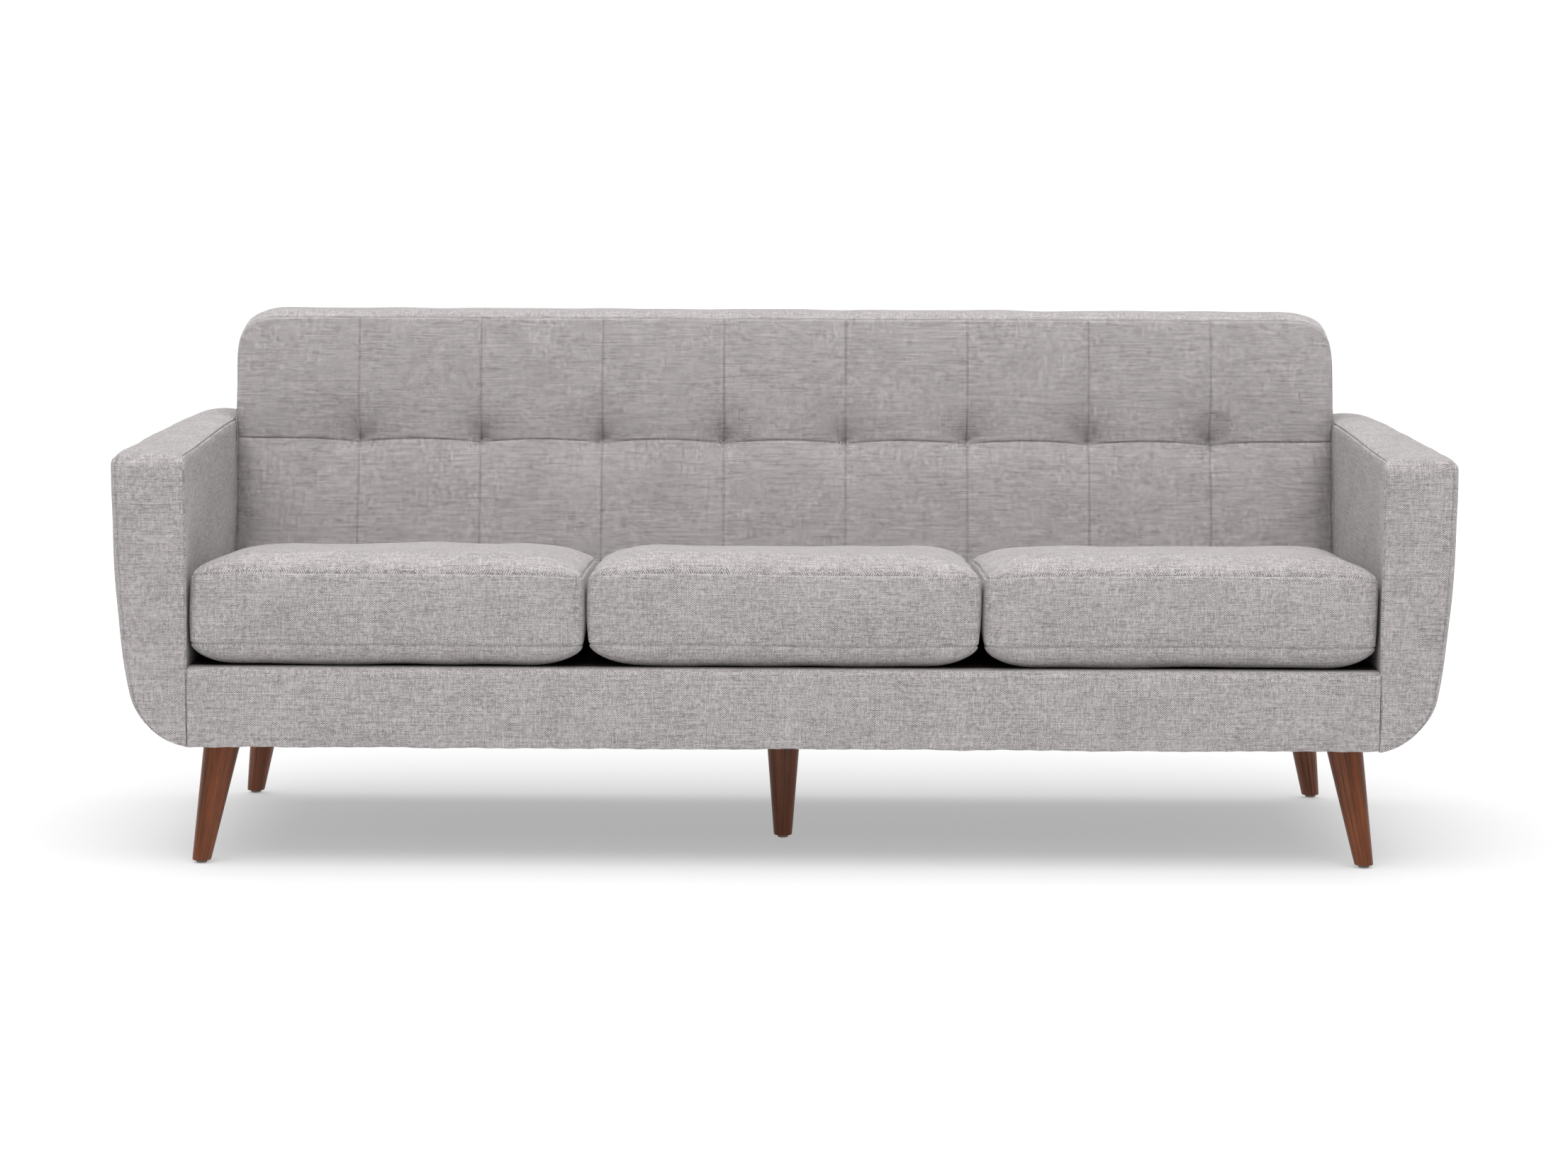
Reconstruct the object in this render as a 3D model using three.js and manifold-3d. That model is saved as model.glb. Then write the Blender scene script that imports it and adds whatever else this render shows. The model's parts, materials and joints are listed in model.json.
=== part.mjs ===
// Three-seat sofa on tapered wooden legs, built the way an upholsterer builds one: a timber seat
// box with plywood arm frames and a raked back frame, sinuous springs and elastic webbing, foam,
// fabric covers, three loose boxed cushions and five screw-in legs.
//
// Millimetres, +Z up. The origin is on the floor, under the middle of the sofa. The front faces -Y
// and the sitter's left is +X, so "right" and "left" in the names are as seen from the front.

import * as THREE from "three";
import { mergeVertices } from "three/addons/utils/BufferGeometryUtils.js";
import Module from "manifold-3d";

const wasm = await Module();
wasm.setup();

// ---- Driving dimensions ----

const WIDTH = 2140; // over the arms
const DEPTH = 850;
const HEIGHT = 860;
const BASE_Z = 194; // underside of the upholstered body
const RAIL_TOP_Z = 322; // top of the padded front border
const ARM_TOP_Z = 664;
const ARM_WIDTH = 116;
const FRONT_RAKE = 0.2493; // run over rise of the face a sitter leans on
const POST_RAKE = 0.1663; // of the back frame inside it
const REAR_RAKE = 0.1037; // of the outside back
const SEAT_COUNT = 3;

const GAP = 0.3; // between two pieces that touch
const FABRIC = 2; // cover cloth with its lining
const PADDING = 11.4; // foam wrap on the arms
const TIMBER = 24; // seat box boards
const PLY = 18; // arm panels

// ---- Places worked out from them ----

const FRONT_Y = -DEPTH / 2;
const REAR_Y = DEPTH / 2; // at the very top of the outside back
const ARM_OUTER_X = WIDTH / 2;
const ARM_INNER_X = ARM_OUTER_X - ARM_WIDTH;
const BACK_HALF = ARM_INNER_X - 2 * GAP;
const PANEL_INSET = FABRIC + PADDING + 2 * GAP; // arm skin to arm timber
const BOX_TOP_Z = 300; // seat box timber
const BOX_BOTTOM_Z = 198;
const RAIL_FRONT_Y = FRONT_Y + PANEL_INSET;
const RAIL_BACK_Y = RAIL_FRONT_Y + TIMBER;
const REAR_RAIL_Y = 322; // front face of the rear seat box board
const BOX_HALF = ARM_INNER_X + PANEL_INSET - GAP; // half length of the front and rear boards
const DECK_Z = 309;
const DECK_TOP_Z = RAIL_TOP_Z;
const BACK_BOTTOM_Z = DECK_TOP_Z + 2;
const POST_TOP_Z = 800;
const POST_THICK = 40;

const frontFaceY = (z) => 235 + (z - ARM_TOP_Z) * FRONT_RAKE;
const postRearY = (z) => REAR_RAIL_Y - GAP + (z - BOX_TOP_Z) * POST_RAKE;
const rearFaceY = (z) => REAR_Y - (HEIGHT - z) * REAR_RAKE;

// ---- Materials ----

const paint = (color, roughness, metalness = 0) =>
  new THREE.MeshStandardMaterial({ color, roughness, metalness });

const MATERIALS = {
  fabric: paint(0xaba5a5, 0.9),
  foam: paint(0xe8dfb8, 0.95),
  timber: paint(0xc9a877, 0.75),
  plywood: paint(0xbf9a68, 0.75),
  walnut: paint(0x5e2f1a, 0.4),
  steel: paint(0x9c9fa3, 0.35, 1),
  webbing: paint(0x2b2a2a, 0.8),
  deckCloth: paint(0x1c1512, 0.9),
  dustCloth: paint(0x141414, 0.95),
  nylon: paint(0x6d6a66, 0.5),
};

// ---- Solid helpers ----

function solidOf(geometry) {
  const bare = geometry.index ? geometry.toNonIndexed() : geometry.clone();
  bare.deleteAttribute("normal");
  bare.deleteAttribute("uv");
  const merged = mergeVertices(bare, 1e-3);
  return new wasm.Manifold(
    new wasm.Mesh({
      numProp: 3,
      vertProperties: new Float32Array(merged.attributes.position.array),
      triVerts: new Uint32Array(merged.index.array),
    }),
  );
}

function geometryOf(solid) {
  const mesh = solid.getMesh();
  const geometry = new THREE.BufferGeometry();
  geometry.setAttribute("position", new THREE.BufferAttribute(new Float32Array(mesh.vertProperties), 3));
  geometry.setIndex(new THREE.BufferAttribute(new Uint32Array(mesh.triVerts), 1));
  geometry.computeVertexNormals();
  return geometry;
}

const X = new THREE.Vector3(1, 0, 0);
const Y = new THREE.Vector3(0, 1, 0);
const Z = new THREE.Vector3(0, 0, 1);

// A flat outline pushed along the third axis, from low to high.
function prism(points, across, up, along, low, high) {
  const shape = new THREE.Shape(points.map(([a, b]) => new THREE.Vector2(a, b)));
  const geometry = new THREE.ExtrudeGeometry(shape, { depth: high - low, bevelEnabled: false });
  geometry.translate(0, 0, low);
  return geometry.applyMatrix4(new THREE.Matrix4().makeBasis(across, up, along));
}

// Outline of [y, z] points pushed along X.
const prismX = (points, low, high) => prism(points, Y, Z, X, low, high);

// Outline of [x, z] points pushed along Y.
const prismY = (points, low, high) => prism(points, X, Z, Y.clone().negate(), -high, -low);

function block([x0, x1], [y0, y1], [z0, z1]) {
  const geometry = new THREE.BoxGeometry(x1 - x0, y1 - y0, z1 - z0);
  return geometry.translate((x0 + x1) / 2, (y0 + y1) / 2, (z0 + z1) / 2);
}

// Turned piece: [radius, z] profile from the axis round to the axis again, about Z.
function turned(profile, sides) {
  const points = profile.map(([r, z]) => new THREE.Vector2(r, z));
  return new THREE.LatheGeometry(points, sides).rotateX(Math.PI / 2);
}

// A closed outline moved inwards by a distance, with mitred corners. The points run anticlockwise.
function insetOutline(points, distance) {
  const count = points.length;
  return points.map((point, i) => {
    const before = points[(i + count - 1) % count];
    const after = points[(i + 1) % count];
    const a = new THREE.Vector2(point[0] - before[0], point[1] - before[1]).normalize();
    const b = new THREE.Vector2(after[0] - point[0], after[1] - point[1]).normalize();
    const normal = new THREE.Vector2(-a.y - b.y, a.x + b.x).normalize();
    const reach = distance / Math.max(0.3, normal.dot(new THREE.Vector2(-a.y, a.x)));
    return [point[0] + normal.x * reach, point[1] + normal.y * reach];
  });
}

function piece(name, geometry, material) {
  const mesh = new THREE.Mesh(geometry, material);
  mesh.name = name;
  return mesh;
}

const board = (name, xs, ys, zs, material = MATERIALS.timber) =>
  piece(name, block(xs, ys, zs), material);

// ---- Seat box: boards, braces and corner blocks ----

const BLOCK_TOP_Z = 239;
const BRACE_TOP_Z = 236;
const LEG_TOP_Z = BASE_Z + 2;
const LEG_BOTTOM_Z = 4.6;
const LEG_SPLAY = 32; // sideways and fore-and-aft, over the leg's height
const LEG_TOP_RADIUS = 30;
const LEG_BOTTOM_RADIUS = 15.2;
const BOLT_RADIUS = 4;
const BOLT_HOLE_RADIUS = BOLT_RADIUS + 0.4;
const CORNER_LEG_X = 906;
const FRONT_LEG_Y = -350;
const REAR_LEG_Y = 301;
const CENTRE_LEG_Y = -115;
const CROSS_BRACE_X = 317;
const CENTRE_BOARD_HALF = 45;
const CENTRE_BOARD_TOP_Z = 222;

const LEGS = [
  { name: "front_left", x: -CORNER_LEG_X, y: FRONT_LEG_Y, lean: [-1, -1] },
  { name: "front_right", x: CORNER_LEG_X, y: FRONT_LEG_Y, lean: [1, -1] },
  { name: "rear_left", x: -CORNER_LEG_X, y: REAR_LEG_Y, lean: [-1, 1] },
  { name: "rear_right", x: CORNER_LEG_X, y: REAR_LEG_Y, lean: [1, 1] },
  { name: "centre", x: 0, y: CENTRE_LEG_Y, lean: [0, 0] },
];

function boltHole(x, y, low, high) {
  const profile = [[0, low], [BOLT_HOLE_RADIUS, low], [BOLT_HOLE_RADIUS, high], [0, high]];
  return solidOf(turned(profile, 12).translate(x, y, 0));
}

function cornerBlock(leg) {
  const side = Math.sign(leg.x);
  const outer = ARM_INNER_X + PANEL_INSET - TIMBER - 2 * GAP;
  const ys = leg.y < 0 ? [RAIL_BACK_Y + GAP, -290] : [225, REAR_RAIL_Y - GAP];
  const xs = [side * outer, side * 850].sort((a, b) => a - b);
  const body = solidOf(block(xs, ys, [BOX_BOTTOM_Z + GAP, BLOCK_TOP_Z]));
  const drilled = body.subtract(boltHole(leg.x, leg.y, BOX_BOTTOM_Z - 5, BLOCK_TOP_Z + 5));
  return piece(`corner_block_${leg.name}`, geometryOf(drilled), MATERIALS.timber);
}

function centreBoard() {
  const xs = [-CENTRE_BOARD_HALF, CENTRE_BOARD_HALF];
  const ys = [RAIL_BACK_Y + GAP, REAR_RAIL_Y - GAP];
  const body = solidOf(block(xs, ys, [BOX_BOTTOM_Z, CENTRE_BOARD_TOP_Z]));
  const drilled = body.subtract(boltHole(0, CENTRE_LEG_Y, BOX_BOTTOM_Z - 5, CENTRE_BOARD_TOP_Z + 5));
  return piece("centre_brace", geometryOf(drilled), MATERIALS.timber);
}

function seatBox() {
  const group = new THREE.Group();
  const ends = [-BOX_HALF, BOX_HALF];
  const heights = [BOX_BOTTOM_Z, BOX_TOP_Z];
  const between = [RAIL_BACK_Y + GAP, REAR_RAIL_Y - GAP];
  group.add(board("front_rail", ends, [RAIL_FRONT_Y, RAIL_BACK_Y], heights));
  group.add(board("rear_rail", ends, [REAR_RAIL_Y, REAR_RAIL_Y + TIMBER], heights));
  const sideInner = ARM_INNER_X + PANEL_INSET - TIMBER - GAP;
  group.add(board("side_rail_left", [-sideInner - TIMBER, -sideInner], between, heights));
  group.add(board("side_rail_right", [sideInner, sideInner + TIMBER], between, heights));
  for (const [name, side] of [["left", -1], ["right", 1]]) {
    const middle = side * CROSS_BRACE_X;
    const xs = [middle - TIMBER / 2, middle + TIMBER / 2];
    group.add(board(`cross_brace_${name}`, xs, between, [BOX_BOTTOM_Z, BRACE_TOP_Z]));
  }
  group.add(centreBoard());
  for (const leg of LEGS) if (leg.x) group.add(cornerBlock(leg));
  return group;
}

// ---- Legs: turned, tapered, cut level at both ends, each on a hanger bolt, with a nail-on glide ----

const GLIDE_RADIUS = 9;
const GLIDE_NAIL_RADIUS = 1.2;
const GLIDE_NAIL_TOP_Z = 19;
const BOLT_BOTTOM_Z = 168;
const BOLT_TOP_Z = 230;

function legWood(leg) {
  const rise = LEG_TOP_Z - LEG_BOTTOM_Z;
  const axis = new THREE.Vector3(-leg.lean[0] * LEG_SPLAY, -leg.lean[1] * LEG_SPLAY, rise);
  const length = axis.length();
  const spare = 12; // beyond each level cut
  const taper = (LEG_TOP_RADIUS - LEG_BOTTOM_RADIUS) / length;
  const low = LEG_BOTTOM_RADIUS - spare * taper;
  const high = LEG_TOP_RADIUS + spare * taper;
  const cone = turned([[0, -spare], [low, -spare], [high, length + spare], [0, length + spare]], 24);
  cone.applyQuaternion(new THREE.Quaternion().setFromUnitVectors(Z, axis.clone().normalize()));
  cone.translate(leg.lean[0] * LEG_SPLAY, leg.lean[1] * LEG_SPLAY, LEG_BOTTOM_Z);
  const level = solidOf(block([-120, 120], [-120, 120], [LEG_BOTTOM_Z, LEG_TOP_Z]));
  const nailHole = turned(
    [[0, 0], [GLIDE_NAIL_RADIUS + GAP, 0], [GLIDE_NAIL_RADIUS + GAP, GLIDE_NAIL_TOP_Z + 1], [0, GLIDE_NAIL_TOP_Z + 1]],
    8,
  ).translate(leg.lean[0] * LEG_SPLAY, leg.lean[1] * LEG_SPLAY, 0);
  const wood = solidOf(cone)
    .intersect(level)
    .subtract(boltHole(0, 0, BOLT_BOTTOM_Z - 1, LEG_TOP_Z + 5))
    .subtract(solidOf(nailHole));
  return piece(`leg_${leg.name}`, geometryOf(wood), MATERIALS.walnut);
}

function glide(leg) {
  const profile = [
    [0, 0],
    [GLIDE_RADIUS - 2.5, 0],
    [GLIDE_RADIUS, 2],
    [GLIDE_RADIUS, LEG_BOTTOM_Z - GAP],
    [GLIDE_NAIL_RADIUS, LEG_BOTTOM_Z - GAP],
    [GLIDE_NAIL_RADIUS, GLIDE_NAIL_TOP_Z - 2],
    [0, GLIDE_NAIL_TOP_Z],
  ];
  const mesh = piece(`glide_${leg.name}`, turned(profile, 16), MATERIALS.nylon);
  mesh.position.set(leg.lean[0] * LEG_SPLAY, leg.lean[1] * LEG_SPLAY, 0);
  return mesh;
}

function hangerBolt(leg) {
  const top = leg.name === "centre" ? BOLT_TOP_Z : BOLT_TOP_Z - 2;
  const profile = [
    [0, BOLT_BOTTOM_Z],
    [BOLT_RADIUS, BOLT_BOTTOM_Z + 6],
    [BOLT_RADIUS, top - 1],
    [BOLT_RADIUS - 1, top],
    [0, top],
  ];
  return piece(`hanger_bolt_${leg.name}`, turned(profile, 12), MATERIALS.steel);
}

function legs() {
  const group = new THREE.Group();
  for (const leg of LEGS) {
    const set = new THREE.Group();
    set.position.set(leg.x, leg.y, 0);
    set.add(legWood(leg), glide(leg), hangerBolt(leg));
    group.add(set);
  }
  return group;
}

// ---- Arms: plywood panels and a top rail in a foam wrap and a sewn cover ----

const ARM_CORNER_RADIUS = 20;
const ARM_SEAM_RADIUS = 8;
const OPENING_TOP_Z = 318; // the arm is open to the seat box below the deck
const OPENING_X = 975;

// The right arm's outer edge seen from the front, from under the seat up to its widest height.
const ARM_SWEEP = new THREE.SplineCurve(
  [
    [976, 199.5],
    [990, 205],
    [1006.6, 214.7],
    [1026.6, 237.6],
    [1038.7, 260.5],
    [1046.7, 283],
    [1054.4, 329],
    [1060.4, 375],
    [1064.7, 420],
    [1067.9, 466],
    [ARM_OUTER_X - 0.8, 530],
    [ARM_OUTER_X, 596],
  ].map(([x, z]) => new THREE.Vector2(x, z)),
);
const SWEEP_STEPS = 18;

// Front outline of the right arm, anticlockwise, its skin moved inwards by a distance.
function armOutline(inset) {
  const shape = new THREE.Shape();
  shape.moveTo(ARM_INNER_X + inset, BASE_Z + inset);
  for (let i = 0; i <= SWEEP_STEPS; i++) {
    const point = ARM_SWEEP.getPointAt(i / SWEEP_STEPS);
    const along = ARM_SWEEP.getTangentAt(i / SWEEP_STEPS);
    shape.lineTo(point.x - along.y * inset, point.y + along.x * inset);
  }
  const corner = Math.max(ARM_CORNER_RADIUS - inset, 2);
  const seam = Math.max(ARM_SEAM_RADIUS - inset, 1);
  const top = ARM_TOP_Z - inset;
  shape.absarc(ARM_OUTER_X - inset - corner, top - corner, corner, 0, Math.PI / 2);
  shape.absarc(ARM_INNER_X + inset + seam, top - seam, seam, Math.PI / 2, Math.PI);
  return shape.getPoints(5).map((p) => [p.x, p.y]);
}

// The arm's whole bulk, its skin moved inwards by a distance, with the raked rear end.
function armBulk(inset) {
  const outline = prismY(armOutline(inset), FRONT_Y + inset, REAR_Y);
  const reach = inset * Math.hypot(1, REAR_RAKE);
  const side = [
    [FRONT_Y - 10, 0],
    [rearFaceY(0) - reach, 0],
    [rearFaceY(HEIGHT) - reach, HEIGHT],
    [FRONT_Y - 10, HEIGHT],
  ];
  return solidOf(outline).intersect(solidOf(prismX(side, 0, WIDTH)));
}

// Where the seat box enters the arm, behind the front padding.
const armOpening = () =>
  solidOf(block([ARM_INNER_X - 5, OPENING_X], [RAIL_FRONT_Y - 0.5, 349], [BASE_Z - 5, OPENING_TOP_Z]));

function rakedSlab(rearY, rake, thick, xs, zs) {
  const points = [
    [rearY(zs[0]) - thick, zs[0]],
    [rearY(zs[0]), zs[0]],
    [rearY(zs[1]), zs[1]],
    [rearY(zs[1]) - thick, zs[1]],
  ];
  return prismX(points, xs[0], xs[1]);
}

function armFrame(name) {
  const group = new THREE.Group();
  const timberBulk = armBulk(PANEL_INSET);
  const above = [BOX_BOTTOM_Z, HEIGHT];
  const frontPanel = timberBulk.intersect(
    solidOf(block([0, WIDTH], [FRONT_Y, RAIL_FRONT_Y + PLY], above)),
  );
  const rearSkin = (z) => rearFaceY(z) + 40;
  const rearPanel = timberBulk.intersect(
    solidOf(rakedSlab(rearSkin, REAR_RAKE, 40 + PANEL_INSET + PLY, [0, WIDTH], above)),
  );
  group.add(piece(`arm_front_panel_${name}`, geometryOf(frontPanel), MATERIALS.plywood));
  group.add(piece(`arm_rear_panel_${name}`, geometryOf(rearPanel), MATERIALS.plywood));
  const railTop = ARM_TOP_Z - PANEL_INSET - GAP;
  const railZ = [railTop - 20, railTop];
  const railRear = rearFaceY(railZ[0]) - PANEL_INSET - PLY - 2;
  const rail = block([ARM_INNER_X + 16, ARM_OUTER_X - 32], [RAIL_FRONT_Y + PLY + GAP, railRear], railZ);
  group.add(piece(`arm_top_rail_${name}`, rail, MATERIALS.timber));
  return group;
}

function armUpholstery(name) {
  const group = new THREE.Group();
  const cover = armBulk(0).subtract(armBulk(FABRIC)).subtract(armOpening());
  const wrap = armBulk(FABRIC + GAP).subtract(armBulk(FABRIC + GAP + PADDING)).subtract(armOpening());
  group.add(piece(`arm_padding_${name}`, geometryOf(wrap), MATERIALS.foam));
  group.add(piece(`arm_cover_${name}`, geometryOf(cover), MATERIALS.fabric));
  return group;
}

function arm(name, side) {
  const group = new THREE.Group();
  group.scale.x = side;
  group.add(armFrame(name), armUpholstery(name));
  return group;
}

// ---- Back: raked posts, rails, slats and webs, foam, inside cover and outside panel ----

const POST_INNER_X = 885;
const POST_OUTER_X = 925;
const TOP_RAIL_Z = [790, 835];
const LOWER_RAIL_Z = [330, 370];
const SLAT_X = [300, 340];
const BACK_CORNER_RADIUS = 85;
const WEB_THICK = 2.2;
const WEB_HALF = 30;
const WEB_HEIGHTS = { lower: 440, middle: 580, upper: 710 };

function backFrame() {
  const group = new THREE.Group();
  const postZ = [BLOCK_TOP_Z + GAP, POST_TOP_Z];
  const between = [-POST_INNER_X + GAP, POST_INNER_X - GAP];
  const slab = (xs, zs) => rakedSlab(postRearY, POST_RAKE, POST_THICK, xs, zs);
  for (const [name, side] of [["left", -1], ["right", 1]]) {
    const order = (xs) => xs.map((x) => side * x).sort((a, b) => a - b);
    const post = slab(order([POST_INNER_X, POST_OUTER_X]), postZ);
    const slat = slab(order(SLAT_X), [LOWER_RAIL_Z[1] + GAP, TOP_RAIL_Z[0] - GAP]);
    group.add(piece(`back_post_${name}`, post, MATERIALS.timber));
    group.add(piece(`back_slat_${name}`, slat, MATERIALS.timber));
  }
  group.add(piece("back_top_rail", slab(between, TOP_RAIL_Z), MATERIALS.timber));
  group.add(piece("back_lower_rail", slab(between, LOWER_RAIL_Z), MATERIALS.timber));
  return group;
}

function backWebs() {
  const group = new THREE.Group();
  const webRearY = (z) => postRearY(z) - POST_THICK - GAP;
  for (const [name, z] of Object.entries(WEB_HEIGHTS)) {
    const zs = [z - WEB_HALF, z + WEB_HALF];
    const web = rakedSlab(webRearY, POST_RAKE, WEB_THICK, [-POST_OUTER_X, POST_OUTER_X], zs);
    group.add(piece(`back_web_${name}`, web, MATERIALS.webbing));
  }
  return group;
}

// Front outline of the back, its skin moved inwards, from a given height up.
function backOutline(inset, bottom) {
  const half = BACK_HALF - inset;
  const radius = BACK_CORNER_RADIUS - inset;
  const centreZ = HEIGHT - BACK_CORNER_RADIUS;
  const shape = new THREE.Shape();
  shape.moveTo(-half, bottom);
  shape.lineTo(half, bottom);
  shape.absarc(half - radius, centreZ, radius, 0, Math.PI / 2);
  shape.absarc(radius - half, centreZ, radius, Math.PI / 2, Math.PI);
  return shape.getPoints(9).slice(0, -1).map((p) => [p.x, p.y]);
}

const backPrism = (inset, bottom) => solidOf(prismY(backOutline(inset, bottom), -DEPTH, DEPTH));

function backCover() {
  const sheet = (inset, bottom, rear) =>
    solidOf(
      prismX(
        [
          [frontFaceY(bottom) + inset, bottom],
          [rearFaceY(bottom) + rear, bottom],
          [rearFaceY(HEIGHT) + rear, HEIGHT],
          [frontFaceY(HEIGHT) + inset, HEIGHT],
        ],
        -WIDTH,
        WIDTH,
      ),
    ).intersect(backPrism(inset, bottom));
  const cavity = sheet(FABRIC, BACK_BOTTOM_Z - 20, 20);
  return piece("back_cover", geometryOf(sheet(0, BACK_BOTTOM_Z, 0).subtract(cavity)), MATERIALS.fabric);
}

function backFoam() {
  const skin = FABRIC + 2 * GAP;
  const bottom = BACK_BOTTOM_Z + 1;
  const top = HEIGHT - skin;
  const overRail = TOP_RAIL_Z[1] + 1;
  const behind = (z) => postRearY(z) - POST_THICK - WEB_THICK - 3 * GAP;
  const outline = [
    [frontFaceY(bottom) + skin, bottom],
    [behind(bottom), bottom],
    [behind(overRail), overRail],
    [rearFaceY(overRail) - skin, overRail],
    [rearFaceY(top) - skin, top],
    [frontFaceY(top) + skin, top],
  ];
  const slab = solidOf(prismX(outline, -WIDTH, WIDTH)).intersect(backPrism(skin, 0));
  return piece("back_foam", geometryOf(slab), MATERIALS.foam);
}

function outsideBack() {
  const slab = rakedSlab(rearFaceY, REAR_RAKE, FABRIC, [-WIDTH, WIDTH], [BASE_Z, HEIGHT]);
  const panel = solidOf(slab).intersect(backPrism(FABRIC + GAP, BASE_Z));
  return piece("outside_back_panel", geometryOf(panel), MATERIALS.fabric);
}

// ---- Seat suspension: three sets of sinuous springs on clips, tied by stay wires ----

const SEAT_PITCH = 635;
const SPRING_Z = BOX_TOP_Z + 6;
const SPRING_WIRE_RADIUS = 1.9;
const SPRING_HALF_WIDTH = 25;
const SPRING_BENDS = 11;
const SPRINGS_PER_SEAT = 3;
const SPRING_PITCH = 190;
const CLIP_LENGTH = 20;
const STAY_WIRE_Y = [-160, 90];

function sinuousSpring(x, startY, endY) {
  const points = [new THREE.Vector3(x, startY, SPRING_Z)];
  const step = (endY - startY) / (SPRING_BENDS + 1);
  for (let bend = 1; bend <= SPRING_BENDS; bend++) {
    const side = bend % 2 ? 1 : -1;
    points.push(new THREE.Vector3(x + side * SPRING_HALF_WIDTH, startY + (bend - 0.25) * step, SPRING_Z));
    points.push(new THREE.Vector3(x + side * SPRING_HALF_WIDTH, startY + (bend + 0.25) * step, SPRING_Z));
  }
  points.push(new THREE.Vector3(x, endY, SPRING_Z));
  const section = new THREE.Shape();
  section.absarc(0, 0, SPRING_WIRE_RADIUS, 0, Math.PI * 2);
  const extrudePath = new THREE.CatmullRomCurve3(points, false, "chordal");
  const steps = 2 * (points.length - 1);
  return solidOf(new THREE.ExtrudeGeometry(section, { steps, curveSegments: 3, extrudePath }));
}

function springSet(name, centreX) {
  const front = RAIL_FRONT_Y + TIMBER / 2;
  const rear = REAR_RAIL_Y + TIMBER / 2;
  const clipZ = [BOX_TOP_Z + GAP, SPRING_Z + SPRING_WIRE_RADIUS + 0.6];
  const parts = [];
  for (let i = 0; i < SPRINGS_PER_SEAT; i++) {
    const x = centreX + (i - (SPRINGS_PER_SEAT - 1) / 2) * SPRING_PITCH;
    parts.push(sinuousSpring(x, front, rear));
    for (const y of [front, rear]) {
      const half = CLIP_LENGTH / 2;
      parts.push(solidOf(block([x - 9, x + 9], [y - half, y + half], clipZ)));
    }
  }
  const reach = SPRING_PITCH * ((SPRINGS_PER_SEAT - 1) / 2) + SPRING_HALF_WIDTH + 5;
  for (const y of STAY_WIRE_Y) {
    const wireZ = [SPRING_Z - 1, SPRING_Z + 1];
    parts.push(solidOf(block([centreX - reach, centreX + reach], [y - 1, y + 1], wireZ)));
  }
  const joined = parts.reduce((whole, part) => whole.add(part));
  return piece(`seat_springs_${name}`, geometryOf(joined), MATERIALS.steel);
}

// ---- Seat border, deck and dust cover ----

const UNDER_FOLD_Y = RAIL_BACK_Y - 3;
const BORDER_BACK_Y = RAIL_BACK_Y + 7;

// Padded cover of the front board: front face, roll over the top, and the fold stapled underneath.
function frontBorder() {
  const face = RAIL_FRONT_Y - GAP;
  const outline = [
    [FRONT_Y + 1, BASE_Z],
    [UNDER_FOLD_Y, BASE_Z],
    [UNDER_FOLD_Y, BOX_BOTTOM_Z - GAP],
    [face, BOX_BOTTOM_Z - GAP],
    [face, BOX_TOP_Z + GAP],
    [face + 1, BOX_TOP_Z + 9],
    [BORDER_BACK_Y, BOX_TOP_Z + 11],
    [BORDER_BACK_Y, RAIL_TOP_Z - 6],
    [BORDER_BACK_Y - 6, RAIL_TOP_Z],
    [FRONT_Y + 11, RAIL_TOP_Z],
    [FRONT_Y + 1, RAIL_TOP_Z - 10],
  ];
  return piece("front_border_cover", prismX(outline, -BACK_HALF, BACK_HALF), MATERIALS.fabric);
}

function deck() {
  const rear = postRearY(DECK_Z) - POST_THICK - 2;
  const ys = [BORDER_BACK_Y + GAP, rear];
  return board("seat_deck", [-BACK_HALF, BACK_HALF], ys, [DECK_Z, DECK_TOP_Z], MATERIALS.deckCloth);
}

function dustCover() {
  const half = BOX_HALF;
  const sheet = block([-half, half], [UNDER_FOLD_Y + GAP, 345], [LEG_TOP_Z + GAP, BOX_BOTTOM_Z - GAP]);
  const pierced = LEGS.reduce(
    (cloth, leg) => cloth.subtract(boltHole(leg.x, leg.y, BASE_Z, BOX_BOTTOM_Z)),
    solidOf(sheet),
  );
  return piece("dust_cover", geometryOf(pierced), MATERIALS.dustCloth);
}

// ---- Loose cushions: boxed cover with a zip opening at the rear, foam core inside ----

const CUSHION_HALF = 315.5;
const CUSHION_FRONT_Y = FRONT_Y + 4;
const CUSHION_REAR_Y = 157;
const CUSHION_BOTTOM_Z = RAIL_TOP_Z + GAP;
const LOWER_SEAM_Z = 361;
const UPPER_SEAM_Z = 471;
const CROWN_Z = 500; // before the rear settles
const SEAT_FALL = 30; // how much lower the top has settled at the rear
const BELLY_ENDS = 46; // how far in the underside comes down, from the front and the rear
const BELLY_SIDES = 85; // and from the sides
const ZIP_HALF = 220;
const ZIP_SLOT_HALF = 2;

// Side or front outline of a cushion between two ends: upright band, crowned top and bellied bottom.
function cushionOutline(low, high, belly) {
  const ease = 34; // how far in the crown has risen by two thirds
  const flat = 105;
  const topHalf = (UPPER_SEAM_Z + 2 * CROWN_Z) / 3;
  const bottomHalf = (LOWER_SEAM_Z + 2 * CUSHION_BOTTOM_Z) / 3;
  return [
    [low, LOWER_SEAM_Z],
    [low + belly / 3, bottomHalf],
    [low + belly, CUSHION_BOTTOM_Z],
    [high - belly, CUSHION_BOTTOM_Z],
    [high - belly / 3, bottomHalf],
    [high, LOWER_SEAM_Z],
    [high, UPPER_SEAM_Z],
    [high - ease, topHalf],
    [high - flat, CROWN_Z],
    [low + flat, CROWN_Z],
    [low + ease, topHalf],
    [low, UPPER_SEAM_Z],
  ];
}

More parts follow.
